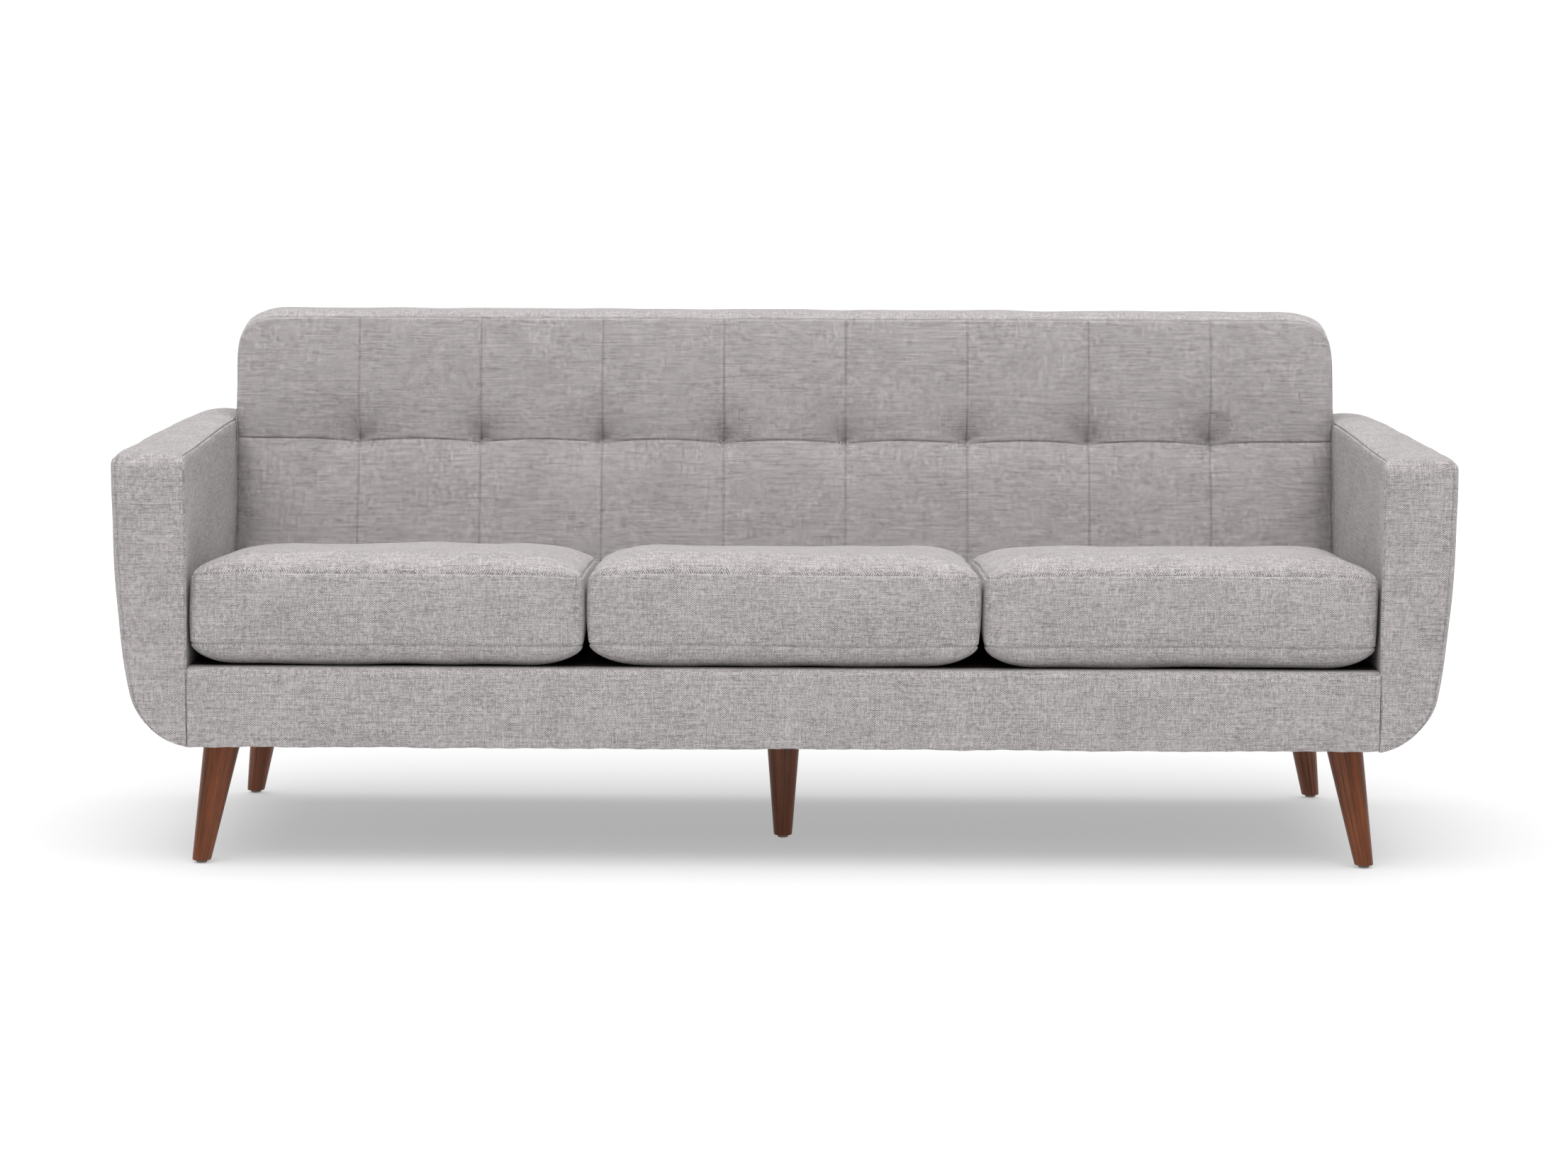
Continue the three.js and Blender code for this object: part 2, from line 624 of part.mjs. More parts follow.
function cushionBulk(inset) {
  const fromSide = cushionOutline(CUSHION_FRONT_Y, CUSHION_REAR_Y, BELLY_ENDS);
  const fromFront = cushionOutline(-CUSHION_HALF, CUSHION_HALF, BELLY_SIDES);
  const side = insetOutline(fromSide, inset);
  const front = insetOutline(fromFront, inset);
  const along = solidOf(prismX(side, -CUSHION_HALF + inset, CUSHION_HALF - inset));
  return along.intersect(solidOf(prismY(front, -DEPTH, DEPTH)));
}

// Lowers the rear of the top, in proportion to the height above the deck.
function settled(solid) {
  return solid.warp((place) => {
    const back = (place[1] - CUSHION_FRONT_Y) / (CUSHION_REAR_Y - CUSHION_FRONT_Y);
    const up = (place[2] - CUSHION_BOTTOM_Z) / (CROWN_Z - CUSHION_BOTTOM_Z);
    place[2] -= SEAT_FALL * back * up;
  });
}

function seatCushion(name, centreX) {
  const group = new THREE.Group();
  group.position.x = centreX;
  const bandMiddle = (LOWER_SEAM_Z + UPPER_SEAM_Z) / 2;
  const zip = block(
    [-ZIP_HALF, ZIP_HALF],
    [CUSHION_REAR_Y - 10, CUSHION_REAR_Y + 10],
    [bandMiddle - ZIP_SLOT_HALF, bandMiddle + ZIP_SLOT_HALF],
  );
  const cover = cushionBulk(0).subtract(cushionBulk(FABRIC)).subtract(solidOf(zip));
  group.add(piece(`seat_cushion_cover_${name}`, geometryOf(settled(cover)), MATERIALS.fabric));
  const core = geometryOf(settled(cushionBulk(FABRIC + GAP)));
  group.add(piece(`seat_cushion_core_${name}`, core, MATERIALS.foam));
  return group;
}

// ---- The whole sofa ----

const sofa = new THREE.Group();
sofa.add(seatBox(), legs());
sofa.add(arm("left", -1), arm("right", 1));
sofa.add(backFrame(), backWebs(), backFoam(), backCover(), outsideBack());
sofa.add(frontBorder(), deck(), dustCover());
["left", "middle", "right"].slice(0, SEAT_COUNT).forEach((name, i) => {
  const centreX = (i - (SEAT_COUNT - 1) / 2) * SEAT_PITCH;
  sofa.add(springSet(name, centreX), seatCushion(name, centreX));
});

export default sofa;
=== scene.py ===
"""Looks of a three-seat sofa on turned wooden legs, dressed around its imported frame.

Every size is in metres. +Z is up, the front faces -Y, and +X runs towards the sitter's left. Each upholstered
piece starts as a block whose grid lines follow its seams. The block is then rounded, crowned and raked into
its place, and its seams are pressed in.
"""

import json
import logging
import math
from collections.abc import Sequence
from dataclasses import dataclass, field
from enum import Enum
from typing import Any

import bpy
import numpy as np
from mathutils import Matrix, Vector
from mathutils.bvhtree import BVHTree


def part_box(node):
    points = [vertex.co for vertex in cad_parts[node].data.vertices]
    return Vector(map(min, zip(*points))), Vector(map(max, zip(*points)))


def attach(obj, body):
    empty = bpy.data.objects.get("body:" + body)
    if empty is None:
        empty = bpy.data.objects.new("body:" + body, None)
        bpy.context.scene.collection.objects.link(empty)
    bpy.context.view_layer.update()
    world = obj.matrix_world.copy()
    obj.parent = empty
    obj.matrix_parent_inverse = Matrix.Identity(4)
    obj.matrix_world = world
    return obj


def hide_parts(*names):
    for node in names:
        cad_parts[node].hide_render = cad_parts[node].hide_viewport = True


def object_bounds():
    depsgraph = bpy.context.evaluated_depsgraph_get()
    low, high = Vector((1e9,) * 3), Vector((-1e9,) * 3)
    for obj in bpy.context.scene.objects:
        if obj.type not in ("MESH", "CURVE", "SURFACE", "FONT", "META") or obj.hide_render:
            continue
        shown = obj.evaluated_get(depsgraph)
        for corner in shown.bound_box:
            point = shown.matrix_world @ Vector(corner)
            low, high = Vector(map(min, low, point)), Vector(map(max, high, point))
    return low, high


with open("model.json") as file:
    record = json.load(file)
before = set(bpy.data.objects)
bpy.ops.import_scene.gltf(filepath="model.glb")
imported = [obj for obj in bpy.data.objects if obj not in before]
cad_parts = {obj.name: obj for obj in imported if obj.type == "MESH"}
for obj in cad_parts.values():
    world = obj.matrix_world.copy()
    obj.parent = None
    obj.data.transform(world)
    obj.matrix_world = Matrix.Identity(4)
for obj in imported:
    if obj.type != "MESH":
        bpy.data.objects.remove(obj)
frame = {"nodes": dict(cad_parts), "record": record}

CAD_BOX = [[float(c) for c in corner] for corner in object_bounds()]
LOG = logging.getLogger("sofa")
WEAVE_MAP = "weave"
FRAME_BODY = "frame"
SEATS = ("left", "middle", "right")

Values = np.ndarray


# ---- Shader building ----


class Wire:
    """An output socket that adds Math nodes when it stands in an expression."""

    def __init__(self, shader: "Shader", socket: bpy.types.NodeSocket) -> None:
        """Wraps one output socket.

        Args:
            shader: The shader that the socket's node belongs to.
            socket: The output socket.
        """
        self.shader = shader
        self.socket = socket

    def math(self, operation: str, *others: "Wire | float", flip: bool = False) -> "Wire":
        """Adds one Math node.

        Args:
            operation: The Math node's operation.
            others: The other operands, wires or numbers.
            flip: Puts the first other operand before this one.

        Returns:
            The node's output.
        """
        operands = [self, *others]
        if flip:
            operands[0], operands[1] = operands[1], operands[0]
        values = dict(enumerate(operands))
        return self.shader.node("ShaderNodeMath", {"operation": operation}, values)

    def __add__(self, other: "Wire | float") -> "Wire":
        """Sum."""
        return self.math("ADD", other)

    __radd__ = __add__

    def __sub__(self, other: "Wire | float") -> "Wire":
        """Difference."""
        return self.math("SUBTRACT", other)

    def __rsub__(self, other: float) -> "Wire":
        """Difference from a number."""
        return self.math("SUBTRACT", other, flip=True)

    def __mul__(self, other: "Wire | float") -> "Wire":
        """Product."""
        return self.math("MULTIPLY", other)

    __rmul__ = __mul__

    def __truediv__(self, other: "Wire | float") -> "Wire":
        """Quotient."""
        return self.math("DIVIDE", other)

    def __pow__(self, other: float) -> "Wire":
        """Power."""
        return self.math("POWER", other)

    def clamped(self) -> "Wire":
        """This value kept between 0 and 1."""
        kept = self.math("ADD", 0.0)
        kept.socket.node.use_clamp = True
        return kept

    def sine(self) -> "Wire":
        """Sine of this value, in radians."""
        return self.math("SINE")

    def whole(self) -> "Wire":
        """The whole number at or below this value."""
        return self.math("FLOOR")

    def folded(self, width: float) -> "Wire":
        """This value run back and forth between 0 and a width."""
        return self.math("PINGPONG", width)

    def between(self, low: float, high: float) -> "Wire":
        """0 at or below low, 1 at or above high, and straight in between."""
        return ((self - low) / (high - low)).clamped()


class Shader:
    """The node tree of one material, around one Principled shader."""

    def __init__(self, name: str) -> None:
        """Starts an empty material.

        Args:
            name: The material's name.
        """
        self.material = bpy.data.materials.new(name)
        self.material.use_nodes = True
        self.tree = self.material.node_tree
        self.surface = self.tree.nodes["Principled BSDF"]

    def node(
        self,
        kind: str,
        settings: dict[str, Any] | None = None,
        values: dict[str | int, Any] | None = None,
        output: str | int = 0,
    ) -> Wire:
        """Adds any node.

        Args:
            kind: The node's type.
            settings: Its settings, set before its sockets. "stops" holds a ramp's (place, colour) pairs.
            values: Its input sockets by name or number, each a wire or a plain value.
            output: The output to hand back.

        Returns:
            The chosen output.
        """
        made = self.tree.nodes.new(kind)
        for key, value in (settings or {}).items():
            if key == "stops":
                self._set_stops(made.color_ramp.elements, value)
            else:
                setattr(made, key, value)
        for key, value in (values or {}).items():
            self.feed(made.inputs[key], value)
        return Wire(self, made.outputs[output])

    @staticmethod
    def _set_stops(elements: Any, stops: Sequence[tuple[float, Sequence[float]]]) -> None:
        """Sets a ramp's stops.

        Args:
            elements: The ramp's elements.
            stops: Its (place, colour) pairs.
        """
        while len(elements) < len(stops):
            elements.new(1.0)
        for element, (place, colour) in zip(elements, stops):
            element.position = place
            element.color = (*colour, 1.0)

    def feed(self, socket: bpy.types.NodeSocket, value: Any) -> None:
        """Links or sets one input socket.

        Args:
            socket: The input.
            value: A wire, a number or a colour.
        """
        if isinstance(value, Wire):
            self.tree.links.new(value.socket, socket)
        elif isinstance(value, (tuple, list)) and socket.type == "RGBA" and len(value) == 3:
            socket.default_value = (*value, 1.0)
        else:
            socket.default_value = value

    def finish_with(self, **sockets: Any) -> bpy.types.Material:
        """Feeds the Principled shader.

        Args:
            sockets: Its inputs by name, with _ for each space.

        Returns:
            The finished material.
        """
        for key, value in sockets.items():
            self.feed(self.surface.inputs[key.replace("_", " ")], value)
        return self.material

    def weave_place(self) -> tuple[Wire, Wire]:
        """Across and along the cloth, in metres, as it lay when it was cut."""
        at = self.node("ShaderNodeUVMap", {"uv_map": WEAVE_MAP})
        return self.split(at)[:2]

    def object_place(self) -> tuple[Wire, Wire, Wire]:
        """X, Y and Z of the piece itself, in metres."""
        return self.split(self.node("ShaderNodeTexCoord", output="Object"))

    def split(self, vector: Wire) -> tuple[Wire, Wire, Wire]:
        """The three parts of a vector."""
        first = self.node("ShaderNodeSeparateXYZ", values={0: vector})
        outputs = first.socket.node.outputs
        return Wire(self, outputs[0]), Wire(self, outputs[1]), Wire(self, outputs[2])

    def noise(self, parts: Sequence[Wire | float], detail: float = 2.0, roughness: float = 0.5) -> Wire:
        """Noise about one unit across.

        Args:
            parts: Where to read it: two or three values, scaled so that one unit is one blot.
            detail: Octaves.
            roughness: How strong the finer octaves are.

        Returns:
            The noise, from 0 to 1, about 0.5 on average.
        """
        place = self.node("ShaderNodeCombineXYZ", values=dict(enumerate(parts)))
        flat = {"noise_dimensions": "2D" if len(parts) == 2 else "3D"}
        values = {"Vector": place, "Scale": 1.0, "Detail": detail, "Roughness": roughness}
        return self.node("ShaderNodeTexNoise", flat, values)

    def chance(self, *parts: Wire) -> Wire:
        """A random value from 0 to 1 for each whole number, or pair of them."""
        if len(parts) == 1:
            return self.node("ShaderNodeTexWhiteNoise", {"noise_dimensions": "1D"}, {"W": parts[0]})
        place = self.node("ShaderNodeCombineXYZ", values=dict(enumerate(parts)))
        return self.node("ShaderNodeTexWhiteNoise", {"noise_dimensions": "2D"}, {"Vector": place})

    def blend(self, factor: Wire, low: Any, high: Any) -> Wire:
        """Mixes two colours.

        Args:
            factor: 0 for the first colour, 1 for the second.
            low: The first colour.
            high: The second colour.

        Returns:
            The mixed colour.
        """
        settings = {"data_type": "RGBA", "clamp_factor": True}
        mixed = self.node("ShaderNodeMix", settings, {"Factor": factor})
        node = mixed.socket.node
        self.feed(node.inputs[6], low)
        self.feed(node.inputs[7], high)
        return Wire(self, node.outputs[2])

    def bump(self, height: Wire, distance: float, strength: float = 1.0) -> Wire:
        """A bumped normal.

        Args:
            height: Height, from 0 to 1.
            distance: How high 1 stands, in metres.
            strength: How much of it shows.

        Returns:
            The normal.
        """
        values = {"Height": height, "Distance": distance, "Strength": strength}
        return self.node("ShaderNodeBump", values=values)


# ---- Finishes ----

Colour = tuple[float, float, float]


@dataclass(frozen=True)
class HerringboneCloth:
    """Heathered upholstery cloth in a fine herringbone twill, with slubs both ways."""

    dark: Colour = (0.2, 0.182, 0.182)
    light: Colour = (0.6, 0.566, 0.566)
    rib_rise: float = 0.0032
    rib_run: float = 0.0038
    band: float = 0.0155
    thread: float = 0.00155
    fleck: float = 0.0062
    slub_length: float = 0.042
    slub_width: float = 0.0025
    clouds: tuple[float, float] = (11.0, 14.0)
    relief: float = 0.0005

    def material(self) -> bpy.types.Material:
        """The cloth's material."""
        shader = Shader("herringbone_cloth")
        across, along = shader.weave_place()
        slant = across.folded(self.band) / self.rib_run
        twill = ((along / self.rib_rise + slant) * (2 * math.pi)).sine() * 0.5 + 0.5
        over = twill.between(0.2, 0.8)
        weft = self._dyed(shader, across, along)
        warp = self._dyed(shader, along, across)
        thin, length = 1 / self.slub_width, 1 / self.slub_length
        weft_slub = self._slub(shader, across * length, along * thin)
        warp_slub = self._slub(shader, along * (length * 1.8), across * (thin * 1.3))
        cloud = shader.noise((across * self.clouds[0], along * self.clouds[1]), 2.0)
        yarn = weft * over + warp * (1 - over)
        tone = (yarn - 0.5) * 0.85 + (weft_slub - 0.5) * 1.35 + (warp_slub - 0.5) * 0.95
        tone = tone + (over - 0.5) * 0.74 + (cloud - 0.5) * 0.26
        relief = twill * 0.7 + yarn * 0.2 + (weft_slub + warp_slub) * 0.3
        colour = shader.blend(tone + 0.5, self.dark, self.light)
        return shader.finish_with(
            Base_Color=colour,
            Roughness=0.93,
            Sheen_Weight=0.16,
            Sheen_Roughness=0.5,
            Specular_IOR_Level=0.25,
            Normal=shader.bump(relief, self.relief, 0.55),
        )

    def _dyed(self, shader: Shader, run: Wire, count: Wire) -> Wire:
        """The shade of each thread, which changes every few millimetres of its run.

        Args:
            shader: The cloth's shader.
            run: The place along the threads.
            count: The place across them.

        Returns:
            The shade, from 0 to 1.
        """
        number = (count / self.thread).whole()
        piece = (run / self.fleck + shader.chance(number) * 7).whole()
        return shader.chance(number, piece)

    def _slub(self, shader: Shader, run: Wire, count: Wire) -> Wire:
        """Long soft streaks of thicker and thinner yarn, out of step from thread to thread.

        Args:
            shader: The cloth's shader.
            run: The place along the threads, in streak lengths.
            count: The place across them, in streak widths.

        Returns:
            The streaks, from 0 to 1.
        """
        slip = shader.noise((count * 0.53, run * 0.04), 1.0) * 14
        return shader.noise((run + slip, count), 2.0, 0.55)


@dataclass(frozen=True)
class PlainCloth:
    """Plain dark cloth, woven or felted."""

    name: str
    dark: Colour
    light: Colour
    thread: float = 0.0012
    roughness: float = 0.95

    def material(self) -> bpy.types.Material:
        """The cloth's material."""
        shader = Shader(self.name)
        x, y, z = shader.object_place()
        fine = 1 / self.thread
        fibre = shader.noise((x * fine, y * fine, z * fine), 2.0, 0.7)
        blot = shader.noise((x * 14.0, y * 14.0, z * 14.0), 2.0)
        colour = shader.blend(fibre * 0.7 + blot * 0.3, self.dark, self.light)
        relief = shader.bump(fibre, 0.0004, 0.5)
        return shader.finish_with(Base_Color=colour, Roughness=self.roughness, Normal=relief)


@dataclass(frozen=True)
class StainedWood:
    """Turned hardwood under a reddish brown stain and a satin varnish."""

    deep: Colour = (0.034, 0.0088, 0.0032)
    bright: Colour = (0.25, 0.068, 0.018)
    pore_width: float = 0.0011
    figure_width: float = 0.006

    def material(self) -> bpy.types.Material:
        """The wood's material."""
        shader = Shader("stained_wood")
        across, along = shader.weave_place()
        fine, broad = 1 / self.pore_width, 1 / self.figure_width
        sway = shader.noise((across * 20.0, along * 5.0), 1.0) * 0.006
        figure = shader.noise(((across + sway) * broad, along * 3.2), 2.5, 0.55)
        pore = shader.noise(((across + sway) * fine, along * 22.0), 2.0, 0.6)
        cloud = shader.noise((across * 30.0, along * 9.0), 1.0)
        dark_pore = pore.between(0.3, 0.5)
        tone = (figure - 0.5) * 1.25 + (cloud - 0.5) * 0.5 + (dark_pore - 0.6) * 0.32 + 0.46
        colour = shader.blend(tone, self.deep, self.bright)
        return shader.finish_with(
            Base_Color=colour,
            Roughness=0.4 + (1 - dark_pore) * 0.12,
            Specular_IOR_Level=0.3,
            Coat_Weight=0.12,
            Coat_Roughness=0.25,
            Normal=shader.bump(dark_pore, 0.0002, 0.35),
        )


@dataclass(frozen=True)
class SawnWood:
    """Unfinished timber or plywood, hidden in the frame."""

    name: str
    dark: Colour
    light: Colour
    ply: float = 0.0

    def material(self) -> bpy.types.Material:
        """The wood's material."""
        shader = Shader(self.name)
        x, y, z = shader.object_place()
        ring = shader.noise((x * 6.0, y * 6.0, z * 90.0), 3.0, 0.6)
        fibre = shader.noise((x * 60.0, y * 60.0, z * 900.0), 2.0, 0.7)
        tone = ring * 0.7 + fibre * 0.3
        if self.ply:
            layer = (y * (2 * math.pi / self.ply)).sine() * 0.5 + 0.5
            tone = tone * 0.75 + layer * 0.25
        colour = shader.blend(tone, self.dark, self.light)
        relief = shader.bump(fibre, 0.0003, 0.4)
        return shader.finish_with(Base_Color=colour, Roughness=0.78, Normal=relief)


@dataclass(frozen=True)
class OpenFoam:
    """Open-cell upholstery foam."""

    dark: Colour = (0.6, 0.5, 0.27)
    light: Colour = (0.86, 0.8, 0.58)
    cell: float = 0.0015

    def material(self) -> bpy.types.Material:
        """The foam's material."""
        shader = Shader("open_foam")
        place = shader.node("ShaderNodeTexCoord", output="Object")
        values = {"Vector": place, "Scale": 1 / self.cell}
        cell = shader.node("ShaderNodeTexVoronoi", values=values, output="Distance")
        colour = shader.blend(cell, self.dark, self.light)
        relief = shader.bump(cell, 0.0006, 0.6)
        return shader.finish_with(Base_Color=colour, Roughness=0.96, Normal=relief)


@dataclass(frozen=True)
class DrawnSteel:
    """Drawn spring wire and zinc-plated bolts."""

    colour: Colour = (0.42, 0.43, 0.45)
    dull: Colour = (0.2, 0.2, 0.21)

    def material(self) -> bpy.types.Material:
        """The steel's material."""
        shader = Shader("drawn_steel")
        x, y, z = shader.object_place()
        blot = shader.noise((x * 70.0, y * 70.0, z * 70.0), 3.0, 0.6)
        draw = shader.noise((x * 900.0, y * 900.0, z * 60.0), 1.0)
        colour = shader.blend(blot, self.dull, self.colour)
        rough, relief = 0.3 + blot * 0.25, shader.bump(draw, 0.0001, 0.3)
        return shader.finish_with(Base_Color=colour, Roughness=rough, Metallic=1.0, Normal=relief)


@dataclass(frozen=True)
class MouldedNylon:
    """Smooth moulded nylon of the glides, scuffed where it meets the floor."""

    colour: Colour = (0.2, 0.19, 0.175)
    scuffed: Colour = (0.34, 0.33, 0.31)

    def material(self) -> bpy.types.Material:
        """The nylon's material."""
        shader = Shader("moulded_nylon")
        x, y, z = shader.object_place()
        scratch = shader.noise((x * 900.0, y * 300.0, z * 300.0), 2.0, 0.6)
        wear = (1 - z.between(0.0, 0.002)) * scratch
        colour = shader.blend(wear, self.colour, self.scuffed)
        relief = shader.bump(scratch, 0.0001, 0.3)
        return shader.finish_with(Base_Color=colour, Roughness=0.42 + wear * 0.3, Normal=relief)


class Finish(Enum):
    """The record's material slots, each with what makes its finish."""

    CLOTH = ("grey_fabric", HerringboneCloth())
    FOAM = ("foam", OpenFoam())
    TIMBER = ("frame_timber", SawnWood("sawn_timber", (0.4, 0.24, 0.105), (0.68, 0.47, 0.25)))
    PLYWOOD = ("plywood", SawnWood("plywood", (0.33, 0.19, 0.085), (0.6, 0.4, 0.2), ply=0.003))
    LEG = ("stained_wood", StainedWood())
    STEEL = ("steel", DrawnSteel())
    WEBBING = ("webbing", PlainCloth("elastic_webbing", (0.012, 0.012, 0.013), (0.06, 0.058, 0.058), 0.0016))
    DECK = ("deck_cloth", PlainCloth("deck_cloth", (0.03, 0.019, 0.013), (0.1, 0.068, 0.05)))
    DUST = ("dust_cloth", PlainCloth("dust_cloth", (0.005, 0.005, 0.005), (0.02, 0.02, 0.02), 0.0007))
    GLIDE = ("nylon_glide", MouldedNylon())

    @property
    def slot(self) -> str:
        """The record's name for it."""
        return self.value[0]

    def material(self) -> bpy.types.Material:
        """Its material, made once."""
        maker = self.value[1]
        if self.slot not in _made:
            _made[self.slot] = maker.material()
        return _made[self.slot]


_made: dict[str, bpy.types.Material] = {}


# ---- Skins: block surfaces that are shaped point by point ----


def linked(name: str, data: bpy.types.ID) -> bpy.types.Object:
    """A new object in the scene, around a mesh, a light or a camera."""
    made = bpy.data.objects.new(name, data)
    bpy.context.scene.collection.objects.link(made)
    return made


def smooth_mesh(name: str, points: Values, faces: Sequence[Sequence[int]], weave: Values) -> bpy.types.Mesh:
    """A smooth shaded mesh that knows where each of its face corners lay on the cut cloth.

    Args:
        name: The mesh's name.
        points: Its points.
        faces: The points of each face.
        weave: The cloth place of each face corner. Corners past its end get none.

    Returns:
        The mesh.
    """
    mesh = bpy.data.meshes.new(name)
    mesh.from_pydata(points.tolist(), [], faces)
    layer = mesh.uv_layers.new(name=WEAVE_MAP)
    places = np.zeros(len(layer.data) * 2, np.float32)
    places[: weave.size] = weave.reshape(-1)
    layer.data.foreach_set("uv", places)
    mesh.polygons.foreach_set("use_smooth", [True] * len(mesh.polygons))
    return mesh


class Panel(Enum):
    """The six panels of a block: its fixed axis, and whether it is the low or the high one."""

    LEFT = (0, False)
    RIGHT = (0, True)
    FRONT = (1, False)
    REAR = (1, True)
    BOTTOM = (2, False)
    TOP = (2, True)


FINE_STEPS = (0.0009, 0.0022, 0.005, 0.01)


def graded(
    low: float,
    high: float,
    step: float,
    marks: Sequence[float],
    near: Sequence[float] = FINE_STEPS,
) -> Values:
    """Grid lines of one axis, close together at the marks.

    Args:
        low: The first line.
        high: The last line.
        step: The usual distance between lines.
        marks: Places, such as seams, that need a line of their own and close neighbours.
        near: How far those neighbours lie from a mark.

    Returns:
        The lines, in order.
    """
    places = {round(low, 6), round(high, 6)}
    for mark in marks:
        for reach in (0.0, *near):
            places |= {round(m, 6) for m in (mark - reach, mark + reach) if low < m < high}
    lines = [low]
    for place in sorted(places)[1:]:
        count = max(1, round((place - lines[-1]) / step))
        lines.extend(np.linspace(lines[-1], place, count + 1)[1:])
    return np.array(lines)


def smooth(value: Values, low: float, high: float) -> Values:
    """An even step from 0 at low to 1 at high."""
    part = np.clip((value - low) / (high - low), 0.0, 1.0)
    return part * part * (3 - 2 * part)


def swell(distance: Values, reach: float, power: float) -> Values:
    """A crown's height, from 0 at an edge to 1 at a distance of reach from it."""
    return 1 - (1 - np.clip(distance / reach, 0.0, 1.0)) ** power


def dome(distance: Values, reach: float, fullness: float = 2.0) -> Values:
    """A rounder crown, upright at the edge, from 0 there to 1 at a distance of reach from it."""
    return (1 - (1 - np.clip(distance / reach, 0.0, 1.0)) ** fullness) ** (1 / fullness)


@dataclass
class Skin:
    """A block's surface: flat is each point on the plain block, and shaped is where it ends."""

    flat: Values
    shaped: Values
    faces: Values
    panels: list[Panel]

    @classmethod
    def block(cls, xs: Values, ys: Values, zs: Values) -> "Skin":
        """The surface of a block.

        Args:
            xs: Grid lines along X.
            ys: Grid lines along Y.
            zs: Grid lines along Z.

        Returns:
            The skin, still flat.
        """
        lines = (xs, ys, zs)
        counts = [len(line) for line in lines]
        cells, panels = [], []
        for panel in Panel:
            axis, high = panel.value
            first, second = (a for a in range(3) if a != axis)
            i, j = np.meshgrid(np.arange(counts[first] - 1), np.arange(counts[second] - 1), indexing="ij")
            corners = []
            for step in ((0, 0), (1, 0), (1, 1), (0, 1)):
                index = [0, 0, 0]
                index[axis] = np.full(i.shape, counts[axis] - 1 if high else 0)
                index[first], index[second] = i + step[0], j + step[1]
                corners.append((index[0] * counts[1] + index[1]) * counts[2] + index[2])
            quads = np.stack(corners, axis=-1).reshape(-1, 4)
            outward = high if axis != 1 else not high
            cells.append(quads if outward else quads[:, ::-1])
            panels += [panel] * len(quads)
        keys, faces = np.unique(np.concatenate(cells), return_inverse=True)
        k = keys % counts[2]
        j = keys // counts[2] % counts[1]
        i = keys // (counts[1] * counts[2])
        flat = np.stack([xs[i], ys[j], zs[k]], axis=1).astype(float)
        return cls(flat, flat.copy(), faces.reshape(-1, 4), panels)

    def round_edge(
        self,
        axes: tuple[int, int],
        corner: tuple[float, float],
        outward: tuple[int, int],
        reach: float,
        power: float = 2.0,
    ) -> None:
        """Rounds one edge of the block, seen along the third axis.

        Args:
            axes: The two axes that the corner lies in.
            corner: Where the sharp corner is.
            outward: +1 or -1 on each axis, towards the outside.
            reach: How far from the corner the rounding starts.
            power: 2 for a round corner, more for a squarer one.
        """
        a, b = axes
        da = (self.shaped[:, a] - corner[0]) * outward[0] + reach
        db = (self.shaped[:, b] - corner[1]) * outward[1] + reach
        inside = (da > 0) & (db > 0)
        da, db = da[inside], db[inside]
        scale = np.maximum(da, db) / (da**power + db**power) ** (1 / power)
        self.shaped[inside, a] = corner[0] + outward[0] * (da * scale - reach)
        self.shaped[inside, b] = corner[1] + outward[1] * (db * scale - reach)

    def on(self, panel: Panel) -> Values:
        """Which points lie on a panel of the plain block."""
        axis, high = panel.value
        edge = self.flat[:, axis].max() if high else self.flat[:, axis].min()
        return np.abs(self.flat[:, axis] - edge) < 1e-7

    def normals(self) -> Values:
        """The outward normal of each point as shaped."""
        a, b, c, d = (self.shaped[self.faces[:, n]] for n in range(4))
        face = np.cross(c - a, d - b)
        total = np.zeros_like(self.shaped)
        for n in range(4):
            np.add.at(total, self.faces[:, n], face)
        return total / np.maximum(np.linalg.norm(total, axis=1, keepdims=True), 1e-12)

    def press_seam(
        self,
        distance: Values,
        depth: float,
        width: float = 0.0011,
        lip: float = 0.0006,
    ) -> None:
        """Presses a seam in, with a low lip of turned-in cloth on each side.

        Args:
            distance: How far each point lies from the seam line.
            depth: Depth of the groove.
            width: Its half width.
            lip: Height of the lips.
        """
        groove = -depth * np.exp(-((distance / width) ** 2))
        edge = lip * np.exp(-(((distance - 0.0036) / 0.0026) ** 2))
        self.shaped += self.normals() * (groove + edge)[:, None]

    def weave(
        self,
        offset: tuple[float, float] = (0.0, 0.0),
        laid: dict[Panel, Values] | None = None,
    ) -> Values:
        """Where each face corner lay on the cut cloth: the two axes its panel runs along.

        Args:
            offset: Moves the piece over the cloth, so that no two pieces match.
            laid: The points of any panel that had to be laid out flat first.

        Returns:
            Two values for each corner of each face.
        """
        axes = np.array([[a for a in range(3) if a != panel.value[0]] for panel in self.panels])
        points = self.shaped[self.faces]
        for panel, places in (laid or {}).items():
            chosen = np.array([p is panel for p in self.panels])
            points[chosen] = places[self.faces[chosen]]
        picked = np.take_along_axis(points, np.broadcast_to(axes[:, None, :], (*self.faces.shape, 2)), axis=2)
        return picked + np.array(offset)

    def mesh_object(self, name: str, weave: Values) -> bpy.types.Object:
        """A Blender object of the skin as shaped.

        Args:
            name: The object's name.
            weave: The cloth place of each face corner.

        Returns:
            The object, smooth shaded.
        """
        return linked(name, smooth_mesh(name, self.shaped, self.faces.tolist(), weave))


